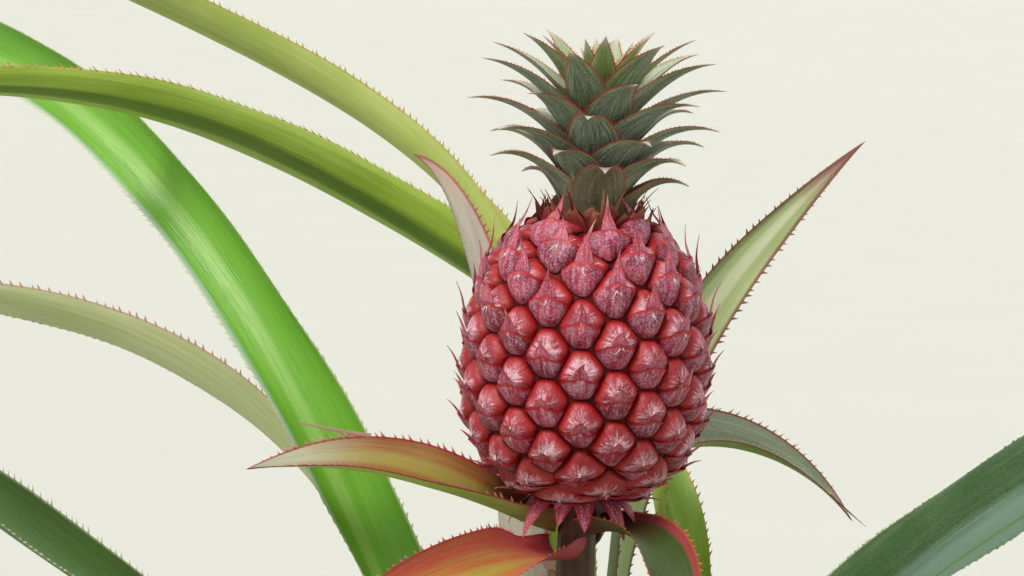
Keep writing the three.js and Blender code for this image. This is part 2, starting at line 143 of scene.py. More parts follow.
class Surface:
    """Collects the points and faces of one mesh, with named numbers for each point."""

    def __init__(self, *marks: str) -> None:
        """Start an empty surface.

        Args:
            marks: Names of the numbers that every point carries to the materials.
        """
        self.names = marks
        self.points: list[Array] = []
        self.values: dict[str, list[Array]] = {name: [] for name in marks}
        self.faces: dict[int, list[Array]] = {3: [], 4: []}
        self.finishes: dict[int, list[Array]] = {3: [], 4: []}
        self.count = 0

    def add_points(self, points: Array, **marks: Array | float) -> int:
        """Add points with their marks.

        Args:
            points: Any array of points, the last axis being x, y and z.
            marks: A number, or one for each point, for every name of this surface.

        Returns:
            The index of the first new point.
        """
        flat = points.reshape(-1, 3)
        first = self.count
        self.points.append(flat)
        self.count += len(flat)
        for name in self.names:
            values = np.broadcast_to(np.asarray(marks[name], float), points.shape[:-1])
            self.values[name].append(values.ravel())
        return first

    def add_faces(self, faces: Array | list, finish: int = 0) -> None:
        """Add faces of three or four corners that share a finish."""
        faces = np.asarray(faces, int)
        if len(faces):
            self.faces[faces.shape[1]].append(faces)
            self.finishes[faces.shape[1]].append(np.full(len(faces), finish))

    def add_grid(self, points: Array, closed: bool = True, finish: int | Array = 0,
                 **marks: Array | float) -> int:
        """Add a grid of points and the quads between them.

        Args:
            points: Rows of points.
            closed: Whether each row's last point joins its first.
            finish: The finish, or one for each step along a row.
            marks: As for add_points.

        Returns:
            The index of the first new point.
        """
        rows, count = points.shape[:2]
        first = self.add_points(points, **marks)
        at = first + np.arange(rows * count).reshape(rows, count)
        after = np.roll(at, -1, axis=1) if closed else at[:, 1:]
        start = at if closed else at[:, :-1]
        quads = np.stack([start[:-1], after[:-1], after[1:], start[1:]], -1)
        steps = np.broadcast_to(finish, quads.shape[1])
        for kind in np.unique(steps):
            self.add_faces(quads[:, steps == kind].reshape(-1, 4), int(kind))
        return first

    def add_end(self, first: int, count: int, middle: Array, lower: bool, **marks: float) -> None:
        """Close one end of a tube with a fan round a middle point.

        Args:
            first: The index of the end ring's first point.
            count: How many points that ring has.
            middle: The middle point.
            lower: Whether this is the end that the tube's rings start from.
            marks: As for add_points.
        """
        centre = self.add_points(middle[None], **marks)
        ring = first + np.arange(count)
        after = np.roll(ring, -1)
        edge = (after, ring) if lower else (ring, after)
        self.add_faces(np.stack([*edge, np.full(count, centre)], -1))

    def made(self, name: str, slot: str, materials: list[bpy.types.Material], sharp: float,
             stands_for: tuple[str, ...] = ()) -> bpy.types.Object:
        """Make the object and fix it to the plant.

        Args:
            name: The piece's name.
            slot: The record's material slot; not used.
            materials: One material for each finish.
            sharp: The angle between faces, in degrees, over which an edge stays sharp.
            stands_for: The solids that the piece replaces.

        Returns:
            The new object.
        """
        mesh = bpy.data.meshes.new(name)
        points = np.concatenate(self.points) * MILLIMETRE
        sizes = [size for size in (4, 3) if self.faces[size]]
        faces = {size: np.concatenate(self.faces[size]) for size in sizes}
        corners = np.concatenate([faces[size].ravel() for size in sizes])
        counts = np.concatenate([np.full(len(faces[size]), size) for size in sizes])
        mesh.vertices.add(len(points))
        mesh.vertices.foreach_set("co", points.ravel())
        mesh.loops.add(len(corners))
        mesh.loops.foreach_set("vertex_index", corners)
        mesh.polygons.add(len(counts))
        mesh.polygons.foreach_set("loop_start", np.cumsum(counts) - counts)
        mesh.polygons.foreach_set("material_index", np.concatenate(
            [np.concatenate(self.finishes[size]) for size in sizes]))
        for mark, values in self.values.items():
            mesh.attributes.new(mark, "FLOAT", "POINT").data.foreach_set("value", np.concatenate(values))
        mesh.update(calc_edges=True)
        mesh.validate()
        mesh.shade_smooth()
        mesh.set_sharp_from_angle(angle=math.radians(sharp))
        for material in materials:
            mesh.materials.append(material)
        piece = bpy.data.objects.new(name, mesh)
        bpy.context.scene.collection.objects.link(piece)
        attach(piece, "root")
        if stands_for:
            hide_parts(*stands_for)
        log.info("%s: %d points, %d triangles", name, len(points), int((counts - 2).sum()))
        return piece


class Link:
    """A node's output, with arithmetic that adds Math nodes."""

    def __init__(self, shader: "Shader", socket: bpy.types.NodeSocket) -> None:
        """Wrap a socket of a shader's tree."""
        self.shader = shader
        self.socket = socket

    def math(self, operation: str, *operands: "Link | float") -> "Link":
        """A Math node on these operands."""
        return self.shader.node("ShaderNodeMath", {"operation": operation}, dict(enumerate(operands)))

    def __add__(self, other: "Link | float") -> "Link":
        """Sum."""
        return self.math("ADD", self, other)

    __radd__ = __add__

    def __sub__(self, other: "Link | float") -> "Link":
        """Difference."""
        return self.math("SUBTRACT", self, other)

    def __rsub__(self, other: float) -> "Link":
        """Difference from a number."""
        return self.math("SUBTRACT", other, self)

    def __mul__(self, other: "Link | float") -> "Link":
        """Product."""
        return self.math("MULTIPLY", self, other)

    __rmul__ = __mul__

    def __abs__(self) -> "Link":
        """Size without sign."""
        return self.math("ABSOLUTE", self)

    def step(self, low: float, high: float) -> "Link":
        """An S-shaped step from 0 at low to 1 at high."""
        return self.shader.node("ShaderNodeMapRange", {"interpolation_type": "SMOOTHSTEP"},
                                {"Value": self, "From Min": low, "From Max": high})

    def clamped(self) -> "Link":
        """The value kept between 0 and 1."""
        return self.shader.node("ShaderNodeClamp", {}, {"Value": self})


class Shader:
    """The node tree of one material."""

    def __init__(self, name: str) -> None:
        """Make the material with its surface shader."""
        self.material = bpy.data.materials.new(name)
        self.material.use_nodes = True
        self.tree = self.material.node_tree
        self.skin = self.tree.nodes["Principled BSDF"]

    def node(self, kind: str, settings: dict, sockets: dict, out: int | str = 0) -> Link:
        """Add a node.

        Args:
            kind: The node's type.
            settings: Its settings, which are set first.
            sockets: Values or links of its inputs, by name or number.
            out: Which output is wanted.

        Returns:
            That output.
        """
        made = self.tree.nodes.new(kind)
        for key, value in settings.items():
            setattr(made, key, value)
        for key, value in sockets.items():
            self.feed(made.inputs[key], value)
        return Link(self, made.outputs[out])

    def feed(self, socket: bpy.types.NodeSocket, value: Link | float | str | tuple) -> None:
        """Link one input, or set it to a number, a vector or a screen colour."""
        if isinstance(value, Link):
            self.tree.links.new(value.socket, socket)
        else:
            socket.default_value = paint(value) if isinstance(value, str) else value

    def mark(self, name: str) -> Link:
        """A number that the mesh's points carry."""
        return self.node("ShaderNodeAttribute", {"attribute_name": name}, {}, "Fac")

    def marks(self, *names: str) -> list[Link]:
        """Several such numbers."""
        return [self.mark(name) for name in names]

    def place(self) -> Link:
        """Where the surface is, in metres."""
        return self.node("ShaderNodeTexCoord", {}, {}, "Object")

    def noise(self, vector: Link, scale: float, detail: float = 3.0) -> Link:
        """Soft noise between 0 and 1."""
        return self.node("ShaderNodeTexNoise", {}, {"Vector": vector, "Scale": scale, "Detail": detail})

    def pattern(self, x: Link, y: Link, z: Link, detail: float = 3.0) -> Link:
        """Soft noise over three numbers that the points carry."""
        return self.noise(self.node("ShaderNodeCombineXYZ", {}, {0: x, 1: y, 2: z}), 1.0, detail)

    def blend(self, low: Link | str, high: Link | str, share: Link) -> Link:
        """The colour at a share of the way from low to high, each a link or a screen colour."""
        return self.node("ShaderNodeMix", {"data_type": "RGBA"}, {0: share, 6: low, 7: high}, 2)

    def finish(self, colour: Link, roughness: Link | float, relief: Link, depth: float,
               **constants: float) -> bpy.types.Material:
        """Feed the surface shader.

        Args:
            colour: The base colour.
            roughness: The roughness.
            relief: Height of the fine relief, from 0 to 1.
            depth: How deep that relief is, in millimetres.
            constants: Numbers for the shader's own sockets, their spaces written as underscores.

        Returns:
            The finished material.
        """
        sockets = {"Height": relief, "Distance": depth * MILLIMETRE, "Strength": 1.0}
        bump = self.node("ShaderNodeBump", {}, sockets, "Normal")
        self.feed(self.skin.inputs["Base Color"], colour)
        self.feed(self.skin.inputs["Roughness"], roughness)
        self.feed(self.skin.inputs["Normal"], bump)
        for key, value in constants.items():
            self.feed(self.skin.inputs[key.replace("_", " ")], value)
        return self.material


@dataclass(frozen=True)
class Band:
    """A stripe along a blade's face: the blade's own colour, or on the broad blade a painted highlight.

    Attributes:
        centre: Where it lies across the blade, from -1 to 1.
        width: Half of its width, on the same scale.
        colour: Its screen colour.
        strength: How much of the colour shows.
    """

    centre: float
    width: float
    colour: str
    strength: float = 1.0


@dataclass(frozen=True)
class BladeFinish:
    """Colours of one kind of blade, as screen colours.

    Attributes:
        upper: Darker and lighter colour of the upper face.
        under: Darker and lighter colour of the underside.
        foot: Colour near the foot.
        tip: Colour of the tip.
        margin: Colour of the thin line along the margins.
        tooth: Colour of the teeth.
        tip_reach: How far the tip's colour reaches down, in millimetres.
        foot_reach: How far the foot's colour reaches up, in millimetres.
        margin_width: Width of the margin's line, in millimetres.
        upper_bands: Stripes on the upper face.
        under_bands: Stripes on the underside.
        scurf: How much whitish scurf covers the underside, from 0 to 1.
        upper_scurf: How much lies on the upper face.
        dust: Colour of the scurf.
        gloss: Roughness of the upper face.
        duller: How much rougher the underside is.
    """

    upper: tuple[str, str]
    under: tuple[str, str]
    foot: str = "b9b67a"
    tip: str = "8a5a3c"
    margin: str = "9a7a45"
    tooth: str = "c08a55"
    tip_reach: float = 26.0
    foot_reach: float = 90.0
    margin_width: float = 0.7
    upper_bands: tuple[Band, ...] = ()
    under_bands: tuple[Band, ...] = ()
    scurf: float = 0.35
    upper_scurf: float = 0.0
    dust: str = "c9cdbb"
    gloss: float = 0.34
    duller: float = 0.16

    def faces(self, kind: str) -> list[bpy.types.Material]:
        """The materials of a kind's upper face, underside and teeth."""
        return [
            self.face(f"{kind}_upper", self.upper, self.upper_bands, self.upper_scurf, self.gloss),
            self.face(f"{kind}_under", self.under, self.under_bands, self.scurf, self.gloss + self.duller),
            self.teeth(f"{kind}_teeth"),
        ]

    def face(self, name: str, colours: tuple[str, str], bands: tuple[Band, ...], scurf: float,
             gloss: float) -> bpy.types.Material:
        """One face of the blade: lengthwise streaks, stripes, scurf, and the colours of foot, tip and margin.

        Args:
            name: The material's name.
            colours: Its darker and lighter colour.
            bands: Its stripes.
            scurf: How much scurf covers it.
            gloss: Its roughness.

        Returns:
            The material.
        """
        shader = Shader(name)
        run, across, edge, tip, tone = shader.marks(*BLADE_MARKS)
        streak = shader.pattern(across * 9, run * 0.008, tone * 9, 4.0)
        fibre = shader.pattern(across * 42, run * 0.03, tone * 5, 2.0)
        patch = shader.pattern(across * 1.3, run * 0.02, tone * 7)
        share = (streak * 0.7 + patch * 0.6 + fibre * 0.35 - 0.42 + tone * 0.12).clamped()
        colour = shader.blend(*colours, share)
        # Stripes along the face, among them the broad blade's painted highlight
        for band in bands:
            away = abs(across - band.centre) + (streak - 0.5) * (band.width * 0.6)
            inside = away.step(band.width, band.width * 0.35) * band.strength
            colour = shader.blend(colour, band.colour, inside)
        dust = shader.pattern(across * 70, run * 1.6, tone * 3)
        covered = ((dust * 0.6 + patch * 0.5 + streak * 0.2).step(0.52, 0.86) * scurf).clamped()
        colour = shader.blend(colour, self.dust, covered)
        ragged = (patch - 0.5) * 40
        colour = shader.blend(colour, self.foot, (run + ragged).step(self.foot_reach, 0.0) * 0.85)
        near_tip = (tip + ragged).step(self.tip_reach, self.tip_reach * 0.2)
        colour = shader.blend(colour, self.tip, near_tip)
        line = edge.step(self.margin_width * 1.6, self.margin_width * 0.6)
        colour = shader.blend(colour, self.margin, line * 0.9)
        roughness = (gloss + streak * 0.16 + covered * 0.25).clamped()
        relief = fibre * 0.8 + streak * 0.2
        return shader.finish(colour, roughness, relief, depth=0.35, Specular_IOR_Level=0.45)

    def teeth(self, name: str) -> bpy.types.Material:
        """The teeth's material, paler towards each point."""
        shader = Shader(name)
        point = shader.mark("across")
        colour = shader.blend(self.margin, self.tooth, abs(point).step(0.95, 1.4))
        grain = shader.noise(shader.place(), 900.0)
        return shader.finish(colour, roughness=0.5, relief=grain, depth=0.1)


@dataclass(frozen=True)
class Course:
    """The line and the width of a blade: how it leaves its stem, leans out, sweeps round and twists.

    Attributes:
        azimuth: Which way it leaves the stem, in degrees.
        length: Its length.
        half_width: Half of its flat width.
        lean: Its lean from upright at foot and tip, in degrees.
        start: Its first point.
        wraps: The radius that its foot wraps.
        bend: How late the lean grows.
        sweep: How far it turns sideways, in degrees.
        turn: Where on its length that is centred.
        twist: How far it twists about its own line, in degrees.
        channel: Half of the angle that its section spans, in degrees.
        thickness: Its thickness in the middle.
    """

    azimuth: float
    length: float
    half_width: float
    lean: tuple[float, float]
    start: Array
    wraps: float
    bend: float = 0.8
    sweep: float = 0.0
    turn: float = 0.4
    twist: float = 0.0
    channel: float = 45.0
    thickness: float = 2.2

    def frames(self, u: Array) -> tuple[Array, Array, Array]:
        """The blade's own directions.

        Args:
            u: Fractions of its length.

        Returns:
            The directions along it, to its side, and the way its upper face looks.
        """
        lean = self.lean[0] + (self.lean[1] - self.lean[0]) * u ** self.bend
        lean = np.radians(lean + FLARE * np.exp(-u * self.length / FLARE_FADE))[:, None]
        heading = self.azimuth + self.sweep * smooth((u - self.turn + SWEEP_SPAN / 2) / SWEEP_SPAN)
        out = outward(heading)
        along = out * np.sin(lean) + UP * np.cos(lean)
        twist = math.radians(self.twist) * smooth((u - TWIST_START) / TWIST_SPAN)
        side = turned_about(outward(heading + 90), along, twist)
        face = turned_about(UP * np.sin(lean) - out * np.cos(lean), along, twist)
        return along, side, face

    def line(self, u: Array) -> Array:
        """Points of the centre line at fractions of the length."""
        middles = (np.arange(PATH_STEPS) + 0.5) / PATH_STEPS
        steps = self.frames(middles)[0] * self.length / PATH_STEPS
        path = np.vstack([self.start, self.start + np.cumsum(steps, axis=0)])
        at = np.linspace(0, 1, PATH_STEPS + 1)
        return np.stack([np.interp(u, at, path[:, k]) for k in range(3)], -1)

    def half_width_at(self, u: Array) -> Array:
        """Half of the flat width: an even stretch and a long taper."""
        return self.half_width * (1 - np.maximum(0, (u - EVEN) / (1 - EVEN)) ** 1.8)

    def span_at(self, u: Array) -> Array:
        """Half of the angle that the section spans, from round the stem to an open tip."""
        closing = smooth((u - CLOSING_FROM) / (1 - CLOSING_FROM))
        opened = math.radians(self.channel) * mix(1, 0.6, closing)
        return mix(self.half_width / self.wraps, opened, smooth(u / CLASPING))

    def thickness_at(self, u: Array) -> Array:
        """Thickness in the middle, less towards the tip."""
        return self.thickness * mix(1, 0.5, smooth((u - THINNING_FROM) / (1 - THINNING_FROM)))

    def sheet(self, u: Array, v: Array) -> tuple[Array, Array]:
        """The middle of the blade's thickness.

        Args:
            u: Fractions of its length.
            v: Places across it, from -1 to 1.

        Returns:
            Rows of points, and the upper face's direction at each.
        """
        _, side, face = (part[:, None] for part in self.frames(u))
        span = self.span_at(u)[:, None]
        curve = (self.half_width_at(u)[:, None] / span)[..., None]
        turn = (span * v)[..., None]
        points = self.line(u)[:, None] + side * curve * np.sin(turn) + face * curve * (1 - np.cos(turn))
        return points, face * np.cos(turn) - side * np.sin(turn)


@dataclass(frozen=True)
class Teeth:
    """Small forward teeth along a blade's margins.

    Attributes:
        spacing: Distance from one to the next.
        length: How far each stands out.
        first: Where on the blade they start, as a fraction.
        forward: How far each points towards the tip, as a share of its length.
        last: Where on the blade they end, as a fraction.
        root: Half of the stretch that each stands on, as a share of its length.
        thickness: Half of its thickness, as a share of its length.
        sunk: How deep it goes into the blade.
    """

    spacing: float = 4.4
    length: float = 2.0
    first: float = 0.06
    forward: float = 0.75
    last: float = 0.985
    root: float = 0.42
    thickness: float = 0.2
    sunk: float = 0.35


@dataclass(frozen=True)
class Sliver:
    """A strip torn loose from a blade's margin, which runs straight on where the blade curves away.

    Attributes:
        margin: Which margin it comes from, -1 or 1.
        start: Where on the blade it starts, as a fraction.
        length: Its length.
        half_width: Half of its width where it starts.
        point: The same at its tip.
        thickness: Its thickness, as a share of its width.
        out: How far its tip leads off sideways, as a share of its length.
        rings: Steps along it.
    """

    margin: int
    start: float
    length: float
    half_width: float = 1.1
    point: float = 0.1
    thickness: float = 0.3
    out: float = 0.06
    rings: int = 12


@dataclass
class Blade:
    """A channelled blade with toothed margins.

    Attributes:
        course: Its line and width.
        tone: A number between -1 and 1 that shifts its colours and patterns.
        teeth: Its teeth.
        rows: Steps along it.
        steps: Steps across it.
        crowding: How much closer its rows lie at the foot, as a power.
        fullness: How far out it keeps its thickness, as a power.
        ripple: How far its margins wave.
        ripple_run: The length over which that wave turns by one radian.
    """

    course: Course
    tone: float
    teeth: Teeth = field(default_factory=Teeth)
    rows: int = 130
    steps: int = 12
    crowding: float = 1.05
    fullness: float = 2.5
    ripple: float = 0.5
    ripple_run: float = 15.0

    def build(self, surface: Surface) -> None:
        """Add the blade's upper face (finish 0), its underside, foot and tip (1) and its teeth (2)."""
        course = self.course
        u = np.linspace(0, 1, self.rows + 1)[:-1] ** self.crowding
        v = np.linspace(-1, 1, self.steps + 1)
        points, normals = self.waved(u, v)
        half = (course.thickness_at(u)[:, None] / 2 * (1 - np.abs(v) ** self.fullness))[..., None]
        under, upper = points - normals * half, points + normals * half
        rings = np.concatenate([under, upper[:, -2:0:-1]], axis=1)
        across = np.concatenate([v, v[-2:0:-1]])
        count = 2 * self.steps
        marks = self.marks(u, across)
        finish = np.where(np.arange(count) < self.steps, 1, 0)
        first = surface.add_grid(rings, finish=finish, **marks)
        tip = surface.add_points(course.line(np.array([1.0])), run=course.length, across=0, edge=0, tip=0,
                                 tone=self.tone)
        last = first + (self.rows - 1) * count
        ends = np.arange(count)
        fan = np.stack([last + ends, last + (ends + 1) % count, np.full(count, tip)], -1)
        surface.add_faces(fan[:self.steps], 1)
        surface.add_faces(fan[self.steps:], 0)
        step = np.arange(1, self.steps - 1)
        surface.add_faces(first + np.stack([count - step, count - step - 1, step + 1, step], -1), 1)
        surface.add_faces([[first, first + count - 1, first + 1],
                           [first + self.steps, first + self.steps - 1, first + self.steps + 1]], 1)
        for sign in (-1, 1):
            self.add_teeth(surface, sign)

    def waved(self, u: Array, v: Array) -> tuple[Array, Array]:
        """The course's sheet with gently waving margins."""
        points, normals = self.course.sheet(u, v)
        phase = 3 * self.tone + np.sign(v) * 1.3
        run = (u * self.course.length / self.ripple_run)[:, None]
        wave = self.ripple * np.abs(v) ** 3 * np.sin(run + phase) * smooth(u / 0.25)[:, None]
        return points + normals * wave[..., None], normals

    def marks(self, u: Array, across: Array) -> dict[str, Array]:
        """The numbers that the finish reads."""
        course = self.course
        edge = course.half_width_at(u)[:, None] * (1 - np.abs(across))
        run = np.repeat((u * course.length)[:, None], len(across), axis=1)
        return {"run": run, "across": np.repeat(across[None], len(u), axis=0), "edge": edge,
                "tip": course.length - run, "tone": self.tone}

    def add_sliver(self, surface: Surface, sliver: Sliver) -> None:
        """Add a torn strip, coloured like the blade's upper face near its tip."""
        at = np.array([sliver.start])
        points, normals = self.waved(at, np.array([sliver.margin * 1.0]))
        along, side, face = (part[0] for part in self.course.frames(at))
        span = float(self.course.span_at(at)[0])
        out = sliver.margin * side * math.cos(span) + face * math.sin(span)
        t = np.linspace(0, 1, sliver.rings)[:, None]
        path = points[0, 0] + (along * t + out * sliver.out * t ** 2) * sliver.length
        around = np.array([(-1.0, 0.0), (0.0, -sliver.thickness), (1.0, 0.0), (0.0, sliver.thickness)])
        width = (sliver.half_width * (1 - t) ** 0.7 + sliver.point)[..., None]
        rings = path[:, None] + (out * around[:, :1] + normals[0, 0] * around[:, 1:]) * width
        surface.add_grid(rings, run=self.course.length * sliver.start, across=sliver.margin, edge=0.9, tip=16,
                         tone=self.tone)

    def add_teeth(self, surface: Surface, sign: int) -> None:
        """Add the teeth of one margin, each a slim thorn on four corners."""
        course, teeth = self.course, self.teeth
        count = int(course.length * (teeth.last - teeth.first) / teeth.spacing)
        jitter = np.array([vary(k, 5 + sign + self.tone) for k in range(count)])
        u = teeth.first + (np.arange(count) + 0.25 * jitter + 0.5) * teeth.spacing / course.length
        points, normals = self.waved(u, np.array([sign * 1.0]))
        along, side, face = course.frames(u)
        span = course.span_at(u)[:, None]
        out = sign * side * np.cos(span) + face * np.sin(span)
        size = teeth.length * (1 + 0.25 * jitter) * smooth((1.05 - u) / 0.25)
        size = size * smooth((u - teeth.first) / 0.05 + 0.3)
        size = np.minimum(size, course.half_width_at(u) * 0.7)[:, None]
        root = points[:, 0] - out * teeth.sunk
        normal = normals[:, 0]
        thorn = np.stack([
            root - along * size * teeth.root,
            root - normal * size * teeth.thickness,
            root + along * size * teeth.root,
            root + normal * size * teeth.thickness,
            root + out * (size + teeth.sunk) + along * size * teeth.forward,
        ], axis=1)
        start = surface.add_points(thorn, run=(u * course.length)[:, None],
                                   across=np.array([1, 1, 1, 1, 1.6]) * sign, edge=0,
                                   tip=(course.length * (1 - u))[:, None], tone=self.tone)
        base = start + 5 * np.arange(count)[:, None]
        for corner in range(4):
            after = (corner + 1) % 4
            corners = (corner, after, 4) if sign > 0 else (after, corner, 4)
            surface.add_faces(base + np.array(corners), 2)


@dataclass(frozen=True)
class Stem:
    """The short main stem, with rings of leaf scars and fibres.

    Attributes:
        outline: Radius and height, from the flared foot to the cut under the stalk.
        scar_gap: Height from one ring of leaf scars to the next.
        sides: Steps round it.
        rings: Steps up it.
    """

    outline: tuple[tuple[float, float], ...] = (
        (36, 0), (30, 14), (26, 34), (26, 112), (18, 134), (11.5, STEM_TOP))
    scar_gap: float = 6.5
    sides: int = 96
    rings: int = 110

    def radius(self, height: Array | float) -> Array | float:
        """The radius at a height."""
        return np.interp(height, [z for _, z in self.outline], [r for r, _ in self.outline])

    def build(self) -> None:
        """Make the stem's piece."""
        surface = Surface("scar")
        height = np.linspace(0, self.outline[-1][1], self.rings)[:, None]
        turn = np.linspace(0, 360, self.sides, endpoint=False)[None]
        scar = np.mod(height / self.scar_gap + turn / 360 * 2, 1.0)
        fibre = np.sin(np.radians(turn) * 23 + height * 0.4) * 0.25 + np.sin(np.radians(turn) * 61) * 0.15
        radius = self.radius(height) - 0.9 * (1 - scar) ** 3 + fibre * smooth(height / 6) - 0.6
        points = outward(np.broadcast_to(turn, scar.shape)) * radius[..., None] + height[..., None] * UP
        first = surface.add_grid(points, scar=scar)
        for ring, z in ((0, 0.0), (self.rings - 1, self.outline[-1][1])):
            surface.add_end(first + ring * self.sides, self.sides, UP * z, ring == 0, scar=0)
        surface.made("stem_bark", "stem", [self.bark()], sharp=80, stands_for=("stem",))

    def bark(self) -> bpy.types.Material:
        """Brown fibrous bark with pale leaf scars."""
        shader = Shader("bark")
        scar = shader.mark("scar")
        place = shader.place()
        drawn_out = shader.node("ShaderNodeMapping", {}, {"Vector": place, "Scale": (1, 1, 0.15)})
        grain = shader.noise(drawn_out, 420.0, 5.0)
        blotch = shader.noise(place, 60.0)
        colour = shader.blend("4a3324", "8a6a4a", (grain * 0.8 + blotch * 0.5 - 0.2).clamped())
        colour = shader.blend(colour, "b29a72", scar.step(0.86, 0.98) * 0.6)
        return shader.finish(colour, roughness=0.85, relief=grain, depth=0.8)


@dataclass(frozen=True)
class Stalk:
    """The fruit stalk, which leans into the fruit's own lean.

    Attributes:
        foot: Its lowest point.
        top: Its highest point, just under the fruit.
        lean: The direction of the fruit's axis.
        radii: Its radius at foot and top.
        straight: How far under the top the leaning stretch begins.
        ribs: How many ribs run along it.
        sides: Steps round it.
        rings: Steps up it.
    """

    foot: Array
    top: Array
    lean: Array
    radii: tuple[float, float] = (10.0, 8.0)
    straight: float = 90.0
    ribs: int = 11
    sides: int = 48
    rings: int = 90

    def point(self, t: Array | float) -> Array:
        """The axis's point at a share of its course."""
        t = np.asarray(t, float)[..., None]
        control = self.top - self.straight * self.lean
        return (1 - t) ** 2 * self.foot + 2 * t * (1 - t) * control + t * t * self.top

    def share(self, height: float) -> float:
        """The share of the course that a height stands for."""
        return (height - STEM_TOP) / (FRUIT_BASE[2] - STEM_TOP)

    def radius(self, t: Array | float) -> Array | float:
        """The radius at a share of the course."""
        return mix(self.radii[0], self.radii[1], t)

    def build(self) -> None:
        """Make the stalk's piece, ribbed lengthwise."""
        surface = Surface("rib", "height")
        t = np.linspace(0, 1, self.rings)
        along = unit(np.gradient(self.point(t), axis=0))
        side = unit(np.cross(np.array([0.0, 1.0, 0.0]), along))
        rise = np.cross(along, side)
        turn = np.linspace(0, 2 * math.pi, self.sides, endpoint=False)
        rib = 0.5 + 0.5 * np.cos(turn[None] * self.ribs + t[:, None] * 2)
        radius = self.radius(t)[:, None] - 0.45 * (1 - rib)
        points = self.point(t)[:, None] + (side[:, None] * np.cos(turn)[:, None]
                                           + rise[:, None] * np.sin(turn)[:, None]) * radius[..., None]
        first = surface.add_grid(points, rib=rib, height=np.repeat(t[:, None], self.sides, 1))
        for ring in (0, self.rings - 1):
            surface.add_end(first + ring * self.sides, self.sides, self.point(t[ring]), ring == 0,
                            rib=0, height=t[ring])
        surface.made("stalk_skin", "stalk", [self.skin()], sharp=80, stands_for=("stalk",))

    def skin(self) -> bpy.types.Material:
        """Dark brown-green skin, reddish under the fruit."""
        shader = Shader("stalk_skin")
        rib, height = shader.marks("rib", "height")
        blotch = shader.noise(shader.place(), 130.0, 4.0)
        colour = shader.blend("2c2a18", "5a5634", (rib * 0.5 + blotch * 0.8 - 0.25).clamped())
        colour = shader.blend(colour, "5a2c28", (height + blotch * 0.3).step(0.75, 1.15) * 0.7)
        return shader.finish(colour, roughness=0.6, relief=blotch, depth=0.6)


class Kind(Enum):
    """Kinds of blade finish, each for leaves or bracts that look alike."""

    OLD = "old"
    GROWN = "grown"
    YOUNG = "young"
    TOP_LEFT = "top_left"
    BROAD = "broad"
    BEHIND = "behind"
    LOW_LEFT = "low_left"
    PALE = "pale"
    NEAR_RIGHT = "near_right"
    SLIM_RIGHT = "slim_right"
    SLIM_LEFT = "slim_left"
    BRACT_FLAME = "bract_flame"
    BRACT_ROSE = "bract_rose"
    BRACT_GREY = "bract_grey"
    BRACT_DARK = "bract_dark"
    BRACT_PLAIN = "bract_plain"


